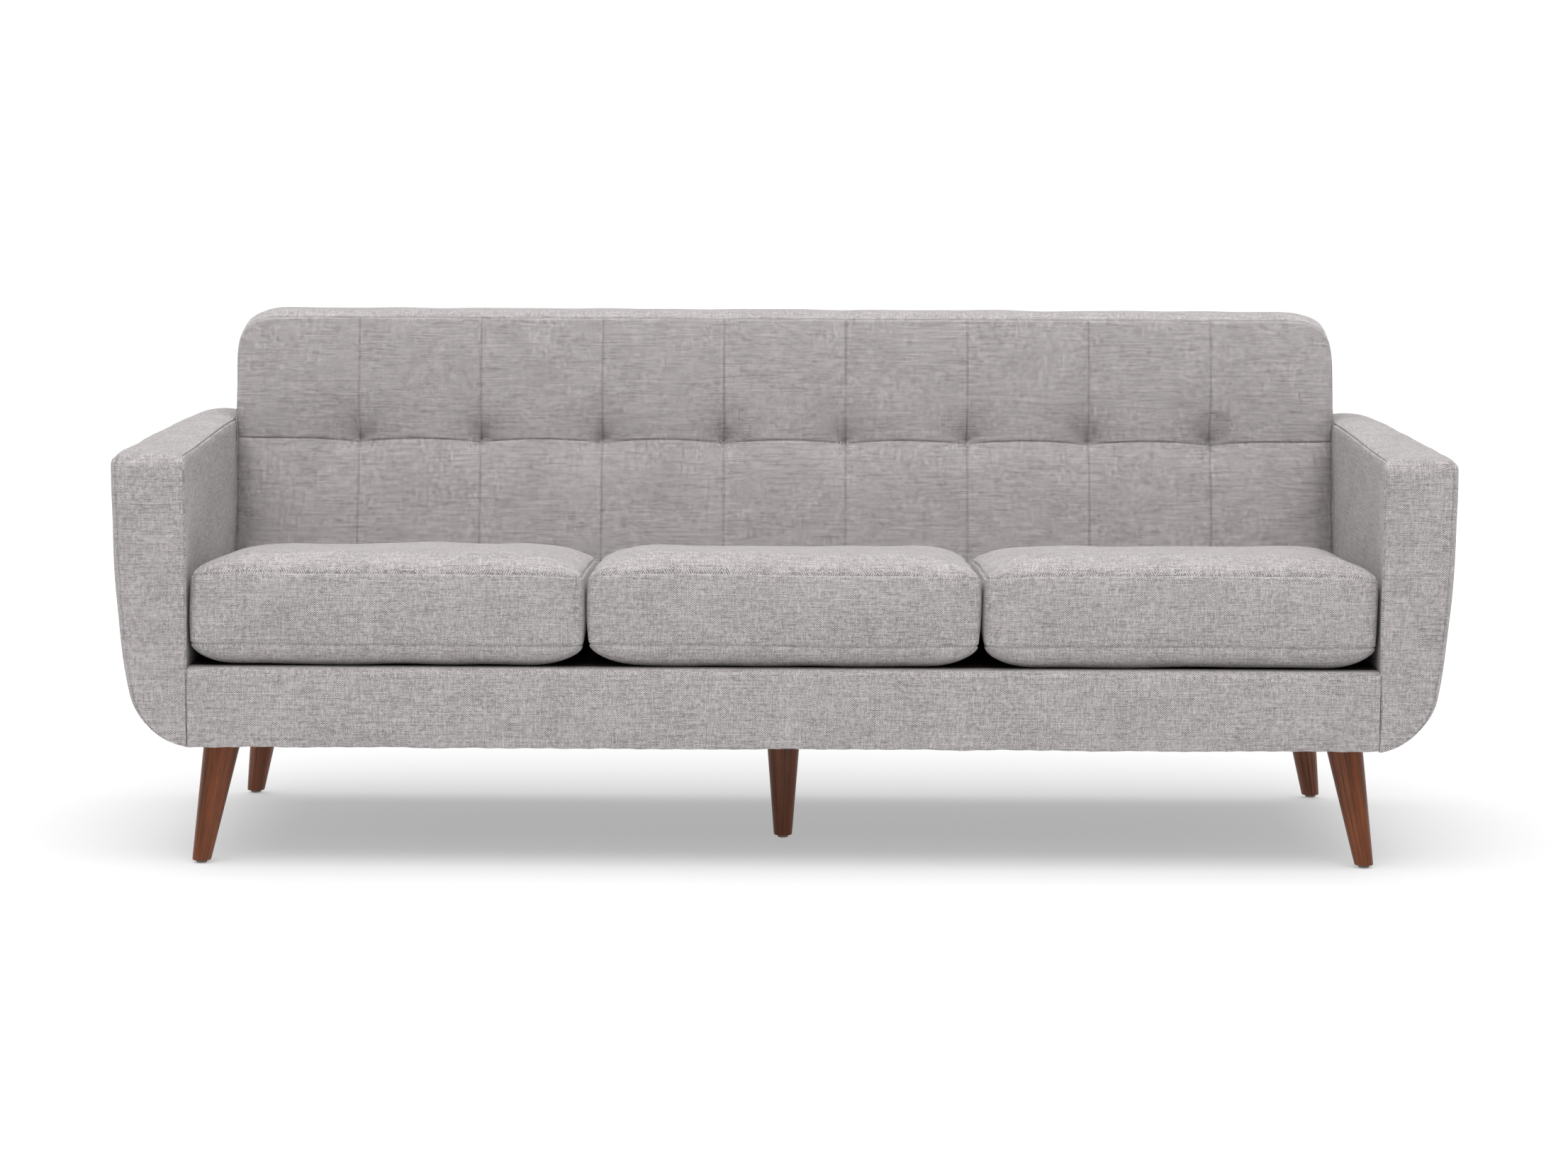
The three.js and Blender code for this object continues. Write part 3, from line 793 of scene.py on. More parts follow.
def drawn_in(points: Values, low: Sequence[float], high: Sequence[float], inset: float) -> Values:
    """Points drawn in towards the middle of a box, by a set amount at its faces.

    Args:
        points: The points.
        low: The box's lowest corner.
        high: Its highest corner.
        inset: How far its faces move in.

    Returns:
        The moved points.
    """
    middle, half = (np.array(low) + np.array(high)) / 2, (np.array(high) - np.array(low)) / 2
    return middle + (points - middle) * (1 - inset / half)


def kept_inside(points: Values, cover: bpy.types.Object, gap: float, rounds: int = 8) -> Values:
    """Moves each point that a cover does not clear to a gap inside it.

    Args:
        points: The points of the piece inside.
        cover: The piece around it.
        gap: The least distance between the two.
        rounds: How often to look again, since a move off one panel can end under another.

    Returns:
        The points, all inside.
    """
    finished = cover.evaluated_get(bpy.context.evaluated_depsgraph_get())
    mesh = finished.to_mesh()
    tree = BVHTree.FromPolygons([v.co for v in mesh.vertices], [tuple(p.vertices) for p in mesh.polygons])
    finished.to_mesh_clear()
    kept, waiting = points.copy(), range(len(points))
    for turn in range(rounds):
        moved = []
        for number in waiting:
            point = Vector(kept[number])
            place, normal, _, _ = tree.find_nearest(point)
            if (point - place).dot(normal) > -gap:
                kept[number] = place - normal * gap * (1.05 + 0.3 * turn)
                moved.append(number)
        waiting = moved
    return kept


def ripple(points: Values, height: float, length: float, seed: int) -> Values:
    """A gentle unevenness of hand-stretched cloth.

    Args:
        points: Where to read it.
        height: Its height.
        length: The length of its waves.
        seed: Which unevenness.

    Returns:
        A height for each point.
    """
    draw = np.random.default_rng(seed)
    total = np.zeros(len(points))
    waves = 7
    for _ in range(waves):
        way = draw.normal(size=3)
        way *= 2 * math.pi / (length * draw.uniform(0.7, 1.6) * np.linalg.norm(way))
        total += np.sin(points @ way + draw.uniform(0, 2 * math.pi))
    return total * (height / math.sqrt(waves))


def inflate(piece: bpy.types.Object, held: Values, pressure: float, cap: float, frames: int = 20) -> float:
    """Lets cloth simulation fill a sewn cover, and keeps the result.

    Args:
        piece: The closed cover.
        held: How firmly each point is held, from 0 to 1.
        pressure: Pressure inside.
        cap: How far a point may move.
        frames: How long it fills.

    Returns:
        The furthest that any point moved.
    """
    start = np.empty(len(piece.data.vertices) * 3, np.float32)
    piece.data.vertices.foreach_get("co", start)
    group = piece.vertex_groups.new(name="held")
    for index in np.nonzero(held > 0)[0]:
        group.add([int(index)], float(held[index]), "REPLACE")
    cloth = piece.modifiers.new("cloth", "CLOTH")
    settings = cloth.settings
    settings.quality = 5
    settings.mass = 0.25
    settings.tension_stiffness = settings.compression_stiffness = 25.0
    settings.shear_stiffness = 8.0
    settings.bending_stiffness = 1.2
    settings.use_pressure = True
    settings.uniform_pressure_force = pressure
    settings.effector_weights.gravity = 0.0
    settings.vertex_group_mass = group.name
    settings.pin_stiffness = 3.0
    cloth.collision_settings.use_collision = False
    cloth.point_cache.frame_start = 1
    cloth.point_cache.frame_end = frames
    scene = bpy.context.scene
    for number in range(1, frames + 1):
        scene.frame_set(number)
    filled = piece.evaluated_get(bpy.context.evaluated_depsgraph_get())
    moved = np.empty_like(start)
    filled.data.vertices.foreach_get("co", moved)
    piece.modifiers.remove(cloth)
    piece.vertex_groups.remove(group)
    scene.frame_set(1)
    step = (moved - start).reshape(-1, 3)
    length = np.linalg.norm(step, axis=1, keepdims=True)
    eased = cap * np.tanh(length / cap)
    kept = start.reshape(-1, 3) + step * eased / np.maximum(length, 1e-9)
    piece.data.vertices.foreach_set("co", kept.reshape(-1).astype(np.float32))
    piece.data.update()
    return float(eased.max())


def points_of(piece: bpy.types.Object) -> Values:
    """The points of a mesh object."""
    flat = np.empty(len(piece.data.vertices) * 3, np.float32)
    piece.data.vertices.foreach_get("co", flat)
    return flat.reshape(-1, 3).astype(float)


def place_points(piece: bpy.types.Object, points: Values) -> None:
    """Puts a mesh object's points somewhere else."""
    piece.data.vertices.foreach_set("co", points.reshape(-1).astype(np.float32))
    piece.data.update()


def dress(
    piece: bpy.types.Object,
    finish: Finish,
    body: str,
    replaces: Sequence[str] = (),
    rounds: int = 0,
) -> None:
    """Gives a finished piece its material, its body and the nodes it stands for.

    Args:
        piece: The piece.
        finish: Its finish.
        body: The body it rides on.
        replaces: The nodes it stands for.
        rounds: Levels of subdivision.
    """
    piece.data.materials.clear()
    piece.data.materials.append(finish.material())
    if rounds:
        smoother = piece.modifiers.new("rounds", "SUBSURF")
        smoother.levels = smoother.render_levels = rounds
        smoother.uv_smooth = "NONE"
    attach(piece, body)
    if replaces:
        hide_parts(*replaces)
    LOG.info("%s: %d points on body %s", piece.name, len(piece.data.vertices), body)


def to_edge(x: Values, y: Values, low: Vector, high: Vector) -> Values:
    """How far in from a box's nearest side each place lies, seen from above."""
    return np.minimum.reduce([x - low.x, high.x - x, y - low.y, high.y - y])


def node_box(node: str) -> tuple[Vector, Vector]:
    """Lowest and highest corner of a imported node."""
    low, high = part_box(node)
    return Vector(low), Vector(high)


# ---- Loose seat cushions ----


@dataclass
class SeatCushion:
    """One boxed seat cushion: crowned top, bellied bottom, a band between two seams, a zip at the rear."""

    name: str
    number: int
    lower_seam: float = 0.0387
    upper_seam: float = 0.153
    front_corner: float = 0.022
    rear_corner: float = 0.06
    pull_in: float = 0.004
    band_bulge: float = 0.0065
    crown: float = 0.0188
    front_fullness: float = 0.5
    crown_reach: tuple[float, float, float] = (0.072, 0.062, 0.26)
    seam_lines: tuple[float, ...] = (0.0003, 0.0013, 0.0035, 0.008, 0.015)
    belly_reach: tuple[float, float] = (0.085, 0.045)
    fall: float = 0.03
    corner_droop: float = 0.005
    seam_sway: float = 0.0016
    seam_depth: float = 0.0036
    core_inset: float = 0.006
    core_gap: float = 0.005
    zip_margin: float = 0.075
    zip_pitch: float = 0.0034
    zip_tape: float = 0.024
    zip_link: float = 0.012
    step: float = 0.015
    fill: float = 0.75
    pressure: float = 4.0
    cap: float = 0.006

    def __post_init__(self) -> None:
        """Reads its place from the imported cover."""
        self.body = f"seat_cushion_{self.name}"
        self.node = f"seat_cushion_cover_{self.name}"
        self.low, self.high = node_box(self.node)
        self.seams = (self.low.z + self.lower_seam, self.low.z + self.upper_seam)

    def _lines(self, step: float) -> tuple[Values, Values, Values]:
        """Grid lines along each axis.

        Args:
            step: The usual distance between lines.

        Returns:
            The lines along X, Y and Z.
        """
        low, high = self.low, self.high
        across = graded(low.x, high.x, step, (low.x, high.x), self.seam_lines)
        deep = graded(low.y, high.y, step, (low.y, high.y), self.seam_lines)
        up = graded(*self.seams, step, self.seams)
        return across, deep, up

    def _shape(self, skin: Skin) -> None:
        """Rounds, crowns and draws in the plain block.

        Args:
            skin: The block between the two seams.
        """
        low, high = self.low, self.high
        for x, sx in ((low.x, -1), (high.x, 1)):
            skin.round_edge((0, 1), (x, low.y), (sx, -1), self.front_corner, 2.2)
            skin.round_edge((0, 1), (x, high.y), (sx, 1), self.rear_corner, 2.0)
        x, y = skin.flat[:, 0], skin.flat[:, 1]
        side = np.minimum(x - low.x, high.x - x)
        wide, front, rear = self.crown_reach
        crown = dome(side, wide, 2.6) * dome(y - low.y, front, 2.6) * dome(high.y - y, rear, 2.2)
        under = dome(side, self.belly_reach[0]) * dome(np.minimum(y - low.y, high.y - y), self.belly_reach[1])
        height = (skin.flat[:, 2] - self.seams[0]) / (self.seams[1] - self.seams[0])
        back = (y - low.y) / (high.y - low.y)
        crown *= 1 + self.front_fullness * (1 - back)
        skin.shaped[:, 2] += np.where(skin.on(Panel.TOP), crown * self.crown, 0.0)
        skin.shaped[:, 2] -= np.where(skin.on(Panel.BOTTOM), under * self.lower_seam, 0.0)
        skin.shaped[:, 2] -= (0.2 + 0.8 * height) * back * self.fall * (1 - 0.999 * under * (height < 1e-6))
        droop = self.corner_droop * (1 - swell(side, 0.13, 2.0))
        skin.shaped[:, 2] -= height * droop
        sway = ripple(skin.flat * (1, 1, 0.3), self.seam_sway, 0.42, 61 + self.number)
        skin.shaped[:, 2] += sway * (1 - under * (height < 1e-6))
        middle, half = (low + high) / 2, (high - low) / 2
        bulge = self.band_bulge * 4 * height * (1 - height)
        for axis, other in ((0, 1), (1, 0)):
            place = (skin.shaped[:, axis] - middle[axis]) / half[axis]
            along = (skin.shaped[:, other] - middle[other]) / half[other]
            draw = self.pull_in * (1 - np.abs(along) ** 3)
            reach = place * np.abs(place) ** 3
            skin.shaped[:, axis] += reach * (bulge * (1 - np.abs(along) ** 8) - draw - 0.001)

    def _laid(self, skin: Skin, height: float, reaches: Sequence[float]) -> Values:
        """The top or bottom panel laid out flat, with its steep edges at their full length.

        Args:
            skin: The cushion's skin.
            height: How far the panel stands out.
            reaches: How far in it takes to do so: from the sides, the front and the rear.

        Returns:
            A place for each point.
        """
        low, high = self.low, self.high
        wide, front, rear = reaches
        places = skin.flat.copy()
        for axis, from_low, from_high in ((0, wide, wide), (1, front, rear)):
            near = skin.flat[:, axis] - low[axis]
            far = high[axis] - skin.flat[:, axis]
            places[:, axis] += np.hypot(near, height * dome(near, from_low)) - near
            places[:, axis] -= np.hypot(far, height * dome(far, from_high)) - far
        return places

    def _seam_distance(self, skin: Skin) -> Values:
        """How far each point lies from the nearer seam.

        Args:
            skin: The cushion's skin.

        Returns:
            The distance for each point.
        """
        x, y, z = skin.flat.T
        low, high = self.low, self.high
        edge = to_edge(x, y, low, high)
        band = np.minimum(z - self.seams[0], self.seams[1] - z)
        over = np.hypot(edge, self.crown * dome(edge, self.crown_reach[0], 2.5))
        under = np.hypot(edge, self.lower_seam * dome(edge, self.belly_reach[1]))
        return np.where(skin.on(Panel.TOP), over, np.where(skin.on(Panel.BOTTOM), under, band))

    def build(self) -> bpy.types.Object:
        """Makes the cover, fills it and presses its seams."""
        skin = Skin.block(*self._lines(self.step))
        self._shape(skin)
        points = skin.shaped
        lift = ripple(points, 0.0012, 0.16, 31 + self.number)
        skin.shaped = points + skin.normals() * lift[:, None]
        sides, ends = self.belly_reach
        laid = {
            Panel.TOP: self._laid(skin, self.crown, self.crown_reach),
            Panel.BOTTOM: self._laid(skin, self.lower_seam, (sides, ends, ends)),
        }
        weave = skin.weave((1.37 * self.number, 0.71 * self.number), laid)
        cover = skin.mesh_object(f"{self.node}_sewn", weave)
        seam = self._seam_distance(skin)
        held = np.clip(1 - seam / 0.004, 0.0, 1.0)
        moved = inflate(cover, np.where(skin.on(Panel.BOTTOM), 1.0, held * 0.9), self.pressure, self.cap)
        LOG.info("%s filled, moving by up to %.1f mm", cover.name, moved * 1000)
        skin.shaped = points_of(cover)
        skin.press_seam(seam, self.seam_depth, lip=0.0)
        place_points(cover, skin.shaped)
        dress(cover, Finish.CLOTH, self.body, [self.node], rounds=1)
        self.build_zip(skin)
        return cover

    def build_zip(self, skin: Skin) -> None:
        """Makes the zip along the rear band: its tape, and its teeth with the slider.

        Args:
            skin: The cushion's finished skin.
        """
        level = skin.flat[:, 2]
        middle = sum(self.seams) / 2
        row = level[np.argmin(np.abs(level - middle))]
        line = skin.shaped[skin.on(Panel.REAR) & (np.abs(level - row) < 1e-6)]
        line = line[np.argsort(line[:, 0])]
        centre, half = (self.low.x + self.high.x) / 2, (self.high.x - self.low.x) / 2 - self.zip_margin

        def at(x: float) -> tuple[float, float]:
            """Y and Z of the band's middle at a place across."""
            return np.interp(x, line[:, 0], line[:, 1]), np.interp(x, line[:, 0], line[:, 2])

        tape, teeth = [], []
        for x in np.arange(centre - half, centre + half, self.zip_link):
            y, z = at(x)
            tape.append(((x, y, z), (self.zip_link * 0.52, 0.0011, self.zip_tape / 2)))
        for n, x in enumerate(np.arange(centre - half, centre + half, self.zip_pitch)):
            y, z = at(x)
            teeth.append(((x, y + 0.0014, z + 0.0009 * (-1) ** n), (self.zip_pitch * 0.4, 0.0011, 0.0021)))
        y, z = at(centre + half - 0.01)
        teeth.append(((centre + half - 0.01, y + 0.002, z), (0.0065, 0.0024, 0.0046)))
        teeth.append(((centre + half - 0.01, y + 0.0038, z - 0.009), (0.0028, 0.0009, 0.011)))
        for word, parts, finish in (("tape", tape, Finish.WEBBING), ("teeth", teeth, Finish.GLIDE)):
            dress(joined_blocks(f"seat_cushion_zip_{word}_{self.name}", parts), finish, self.body)

    def build_core(self, cover: bpy.types.Object) -> bpy.types.Object:
        """Makes the foam core inside the cover."""
        skin = Skin.block(*self._lines(0.03))
        self._shape(skin)
        skin.shaped = drawn_in(skin.shaped, self.low, self.high, self.core_inset)
        skin.shaped = kept_inside(skin.shaped, cover, self.core_gap)
        core = skin.mesh_object(f"seat_cushion_core_{self.name}_foam", skin.weave())
        dress(core, Finish.FOAM, self.body, [f"seat_cushion_core_{self.name}"])
        return core


# ---- Tufted back ----


@dataclass
class TuftedBack:
    """The inside back: nine columns by two rows, drawn in at eight blind tufts, with a band round it."""

    pitch: float = 0.2115
    tuft_height: float = 0.638
    tuft_count: int = 8
    corner: float = 0.112
    squareness: float = 4.3
    row_arc: float = 0.0085
    step: float = 0.0135
    tuft_depth: float = 0.034
    puff: float = 0.0055
    top_inset: float = 0.0118
    side_inset: float = -0.002
    rake: float = 0.2493
    front_at: float = 0.235
    arm_height: float = 0.664
    tuck: float = 0.02
    seam_depth: float = 0.003
    foam_inset: float = 0.007
    foam_gap: float = 0.004
    rear_rake: float = 0.1037

    def __post_init__(self) -> None:
        """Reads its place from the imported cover."""
        self.low, self.high = node_box("back_cover")
        first = -(self.tuft_count - 1) / 2
        self.tufts = [(first + n) * self.pitch for n in range(self.tuft_count)]

    def front(self, z: Values) -> Values:
        """Y of the plain front face at a height."""
        return self.front_at + (z - self.arm_height) * self.rake

    def rear(self, z: Values) -> Values:
        """Y of the plain rear face at a height."""
        return self.high.y - (self.high.z - z) * self.rear_rake

    def _relief(self, x: Values, z: Values) -> Values:
        """How far the front face sinks in at each place; negative where it swells.

        Args:
            x: Across the back.
            z: Up it.

        Returns:
            The depth.
        """
        phase = x / self.pitch - 0.5
        column = np.abs(np.sin(math.pi * phase)) ** 0.9
        side = swell(self.high.x - np.abs(x), 0.07, 2.2)
        above = swell(self.high.z - self.top_inset - z, 0.07, 2.2)
        off_row = np.abs(z - self.tuft_height)
        sink = -self.puff * (0.35 + 0.65 * column) * side * above * (0.45 + 0.55 * swell(off_row, 0.09, 2.0))
        sink += 0.0035 * np.exp(-off_row / 0.018) * side
        between_arms = 1 - smooth(z, self.arm_height - 0.03, self.arm_height + 0.03)
        sink += self.tuck * (1 - swell(self.high.x - np.abs(x), 0.05, 2.2)) * between_arms
        for place in self.tufts:
            dx, dz = (x - place), (z - self.tuft_height)
            stretch = np.where(dz > 0, 0.028, 0.016)
            near = np.sqrt((dx / 0.027) ** 2 + (dz / stretch) ** 2)
            sink += self.tuft_depth * np.exp(-np.sqrt(near**2 + 0.015) * 1.35)
            sink += 0.006 * np.exp(-((dx / 0.06) ** 2) - (dz / 0.055) ** 2)
        return sink

    def _arc(self, x: Values) -> Values:
        """How far the seam between the rows rises at a place across."""
        phase = np.abs(x) / self.pitch - 0.5 * (self.tuft_count % 2 == 0)
        last = (self.tuft_count - 1) / 2 + (0.0 if self.tuft_count % 2 else -0.5)
        beyond = np.clip(phase - last, 0.0, 0.4)
        wave = np.where(phase > last, beyond, phase)
        return self.row_arc * np.abs(np.sin(math.pi * wave)) ** 0.75

    def _skin(self, step: float, near: Sequence[float] = FINE_STEPS, inset: float = 0.0) -> Skin:
        """The back's skin, shaped and raked, with no seams yet.

        Args:
            step: The usual distance between grid lines.
            near: How far a seam's neighbouring lines lie from it.
            inset: How far inside the cover it lies.

        Returns:
            The skin.
        """
        low, high = self.low, self.high
        across = graded(low.x, high.x, step, (low.x, *self.tufts, high.x), near)
        up = graded(low.z, high.z, step, (self.tuft_height, high.z), near)
        depths = np.array([0.0, 0.012, 0.03, 0.06, 0.11, 0.17, 0.25, 0.36, 0.5, 0.64, 0.78, 0.88, 0.95, 1.0])
        skin = Skin.block(across, depths, up)
        near_row = np.exp(-(((skin.flat[:, 2] - self.tuft_height) / 0.045) ** 2))
        skin.shaped[:, 2] += self._arc(skin.flat[:, 0]) * near_row
        for x, sign in ((low.x, -1), (high.x, 1)):
            skin.round_edge((0, 2), (x, high.z), (sign, 1), self.corner, self.squareness)
        t = skin.flat[:, 1]
        rear_edge = 0.45 * np.clip((t - 0.82) / 0.18, 0.0, 1.0) ** 2
        opening = np.clip(1 - t / 0.26, 0.0, 1.0) ** 2.2 + rear_edge
        side_opening = np.clip(1 - t / 0.1, 0.0, 1.0) ** 2 + rear_edge
        x, z = skin.shaped[:, 0].copy(), skin.shaped[:, 2].copy()
        free = 0.25 + 0.75 * smooth(z, self.arm_height - 0.02, self.arm_height + 0.05)
        x *= 1 - side_opening * free * self.side_inset / high.x
        z -= opening * self.top_inset * smooth(z, low.z + 0.1, high.z)
        y = self.front(z) + inset + t * (self.rear(z) - self.front(z) - 2 * inset)
        y += np.where(skin.on(Panel.FRONT), self._relief(x, z), 0.0)
        x *= 1 - inset / high.x
        z = low.z + inset + (z - low.z) * (1 - 2 * inset / (high.z - low.z))
        skin.shaped = np.stack([x, y, z], axis=1)
        return skin

    def _seam_distance(self, skin: Skin) -> Values:
        """How far each point lies from the nearest seam.

        Args:
            skin: The back's skin.

        Returns:
            The distance for each point.
        """
        x, _, z = skin.flat.T
        low, high = self.low, self.high
        rim = np.minimum.reduce([x - low.x, high.x - x, high.z - z])
        columns = np.minimum.reduce([np.abs(x - place) for place in self.tufts])
        row = np.abs(z - self.tuft_height)
        on_front = np.minimum.reduce([rim, columns, row])
        thickness = (self.rear(z) - self.front(z))
        on_band = np.minimum(skin.flat[:, 1], 1 - skin.flat[:, 1]) * thickness
        distance = np.where(skin.on(Panel.REAR), rim, on_band)
        return np.where(skin.on(Panel.FRONT), on_front, distance)

    def build(self) -> bpy.types.Object:
        """Makes the inside back."""
        skin = self._skin(self.step)
        weave = skin.weave((0.31, 0.83))
        skin.shaped += skin.normals() * ripple(skin.shaped, 0.0008, 0.13, 7)[:, None]
        skin.press_seam(self._seam_distance(skin), self.seam_depth)
        cover = skin.mesh_object("back_cover_tufted", weave)
        dress(cover, Finish.CLOTH, FRAME_BODY, ["back_cover"], rounds=1)
        return cover

    def build_foam(self, cover: bpy.types.Object) -> bpy.types.Object:
        """Makes the foam behind the cover."""
        skin = self._skin(self.step, inset=self.foam_inset)
        skin.shaped = kept_inside(skin.shaped, cover, self.foam_gap)
        foam = skin.mesh_object("back_foam_cut", skin.weave())
        dress(foam, Finish.FOAM, FRAME_BODY, ["back_foam"])
        return foam


# ---- Arms ----


class Side(Enum):
    """Which end of the sofa, and its sign along X."""

    LEFT = -1
    RIGHT = 1

    @property
    def word(self) -> str:
        """Its name in node names."""
        return self.name.lower()


@dataclass
class Arm:
    """One arm: a strip over the front and top, sewn to an inner and an outer panel."""

    side: Side
    taper: float = 0.303
    taper_from: float = 0.556
    sweep: float = 0.085
    foot: float = 0.004
    outer_top: float = 0.018
    shoulder: float = 0.003
    inner_top: float = 0.013
    front_top: float = 0.027
    front_outer: float = 0.012
    front_inner: float = 0.003
    rear_top: float = 0.012
    rear_outer: float = 0.01
    rear_inner: float = 0.004
    strip_edge: float = 0.009
    crown: float = 0.0165
    puff: float = 0.003
    seam_depth: float = 0.0024
    wrap_out: float = 0.007
    wrap_in: float = 0.0125
    rear_rake: float = 0.1037

    def __post_init__(self) -> None:
        """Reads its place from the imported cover, as if it were the right arm."""
        low, high = node_box(f"arm_cover_{self.side.word}")
        xs = sorted((low.x * self.side.value, high.x * self.side.value))
        self.low = Vector((xs[0], low.y, low.z))
        self.high = Vector((xs[1], high.y, high.z))
        self.back = self.high.y

    def _outer(self, z: Values) -> Values:
        """X of the outside at a height: upright, drawing in, then sweeping under the seat."""
        drawn = self.taper * np.clip(self.taper_from - z, 0.0, None) ** 2
        down = np.clip(self.low.z + self.sweep - z, 0.0, self.sweep)
        swept = self.sweep - np.sqrt(np.maximum(self.sweep**2 - down**2, 0.0))
        return np.maximum(self.high.x - drawn - swept, self.low.x + self.foot)

    def _skin(self, step: float) -> Skin:
        """The arm's skin as the right arm, with no seams yet.

        Args:
            step: The usual distance between grid lines.

        Returns:
            The skin.
        """
        low, high = self.low, self.high
        rounding = (0.0015, 0.0035, 0.006, 0.009, 0.0125, 0.0165, 0.021, 0.027)
        across = graded(low.x, high.x, step, (low.x, high.x - self.strip_edge, high.x))
        deep = graded(low.y, self.back, step * 1.3, (low.y, self.back), rounding)
        under = [self.sweep * (1 - math.cos(math.radians(angle))) for angle in range(7, 90, 7)]
        up = graded(low.z, high.z, step, (high.z,), rounding)
        kept = up[(up > low.z + under[-1]) | (up == low.z)]
        up = np.sort(np.concatenate([kept, low.z + np.array(under)]))
        skin = Skin.block(across, deep, up)
        skin.round_edge((1, 2), (low.y, high.z), (-1, 1), self.front_top)
        skin.round_edge((1, 0), (low.y, high.x), (-1, 1), self.front_outer)
        skin.round_edge((1, 0), (low.y, low.x), (-1, -1), self.front_inner)
        skin.round_edge((1, 2), (self.back, high.z), (1, 1), self.rear_top)
        skin.round_edge((1, 0), (self.back, high.x), (1, 1), self.rear_outer)
        skin.round_edge((1, 0), (self.back, low.x), (1, -1), self.rear_inner)
        skin.round_edge((0, 2), (high.x, high.z), (1, 1), self.outer_top)
        skin.round_edge((0, 2), (low.x, high.z), (-1, 1), self.inner_top)
        self._fit(skin)
        return skin

    def _fit(self, skin: Skin) -> None:
        """Crowns the top, swells the front, draws the outside in and rakes the rear.

        Args:
            skin: The rounded block.
        """
        low, high = self.low, self.high
        x, y, z = skin.shaped.T.copy()
        wide = (x - low.x) / (high.x - low.x)
        hump = 1 - np.abs(2 * wide - 0.72) ** 2.4
        ramp = smooth(y, low.y + 0.04, low.y + 0.62)
        z += self.crown * np.clip(hump, 0.0, 1.0) * ramp * smooth(z, high.z - 0.05, high.z)
        tall = (z - low.z) / (high.z - low.z)
        off_middle, off_height = np.abs(2 * wide - 1), np.abs(2 * tall - 1)
        swelled = self.puff * np.clip(1 - off_middle**3, 0, 1) * np.clip(1 - off_height**4, 0, 1)
        y -= swelled * (1 - smooth(y, low.y, low.y + 0.03))
        belly = self.puff * np.clip(1 - off_height**3, 0, 1) * smooth(y, low.y, low.y + 0.12)
        x = low.x + (x - low.x) * (self._outer(z) - low.x) / (high.x - low.x)
        x += (belly + self.shoulder * smooth(z, high.z - 0.12, high.z - 0.03)) * smooth(wide, 0.5, 1.0)
        rear = self.back - (high.z - np.minimum(z, high.z)) * self.rear_rake
        y = low.y + (y - low.y) * (rear - low.y) / (self.back - low.y)
        skin.shaped = np.stack([x, y, z], axis=1)

    def _seam_distance(self, skin: Skin) -> Values:
        """How far each point lies from the strip's two seams.

        Args:
            skin: The arm's skin.

        Returns:
            The distance for each point.
        """
        low, high = self.low, self.high
        x, y, z = skin.flat.T
        strip = skin.on(Panel.FRONT) | skin.on(Panel.TOP)
        outer = np.abs(x - (high.x - self.strip_edge))
        inner = x - low.x
        on_side = np.minimum(y - low.y, high.z - z)
        far = np.full(len(x), 1.0)
        distance = np.where(strip, np.minimum(outer, inner), far)
        return np.minimum(distance, np.where(skin.on(Panel.LEFT), on_side, far))

    def _mirrored(self, skin: Skin) -> None:
        """Turns the right arm into the left one where it has to be."""
        if self.side is Side.LEFT:
            skin.shaped[:, 0] *= -1
            skin.faces = skin.faces[:, ::-1]

    def build(self) -> bpy.types.Object:
        """Makes the arm's cover."""
        skin = self._skin(0.0135)
        skin.shaped += skin.normals() * ripple(skin.shaped, 0.0007, 0.14, 11 + self.side.value)[:, None]
        skin.press_seam(self._seam_distance(skin), self.seam_depth, lip=0.0009)
        self._mirrored(skin)
        weave = skin.weave((2.1 * self.side.value, 0.4))
        cover = skin.mesh_object(f"arm_cover_{self.side.word}_sewn", weave)
        dress(cover, Finish.CLOTH, FRAME_BODY, [f"arm_cover_{self.side.word}"], rounds=1)
        return cover

    def build_padding(self) -> bpy.types.Object:
        """Makes the foam wrap under the cover: an outer skin, and an inner one turned inside out."""
        skin, inner = self._skin(0.03), self._skin(0.03)
        skin.shaped = drawn_in(skin.shaped, self.low, self.high, self.wrap_out)
        inner.shaped = drawn_in(inner.shaped, self.low, self.high, self.wrap_in)
        skin.faces = np.concatenate([skin.faces, inner.faces[:, ::-1] + len(skin.shaped)])
        skin.shaped = np.concatenate([skin.shaped, inner.shaped])
        skin.panels = skin.panels * 2
        self._mirrored(skin)
        wrap = skin.mesh_object(f"arm_padding_{self.side.word}_wrap", skin.weave())
        dress(wrap, Finish.FOAM, FRAME_BODY, [f"arm_padding_{self.side.word}"])
        return wrap


# ---- Front border, outside back, deck and dust cover ----


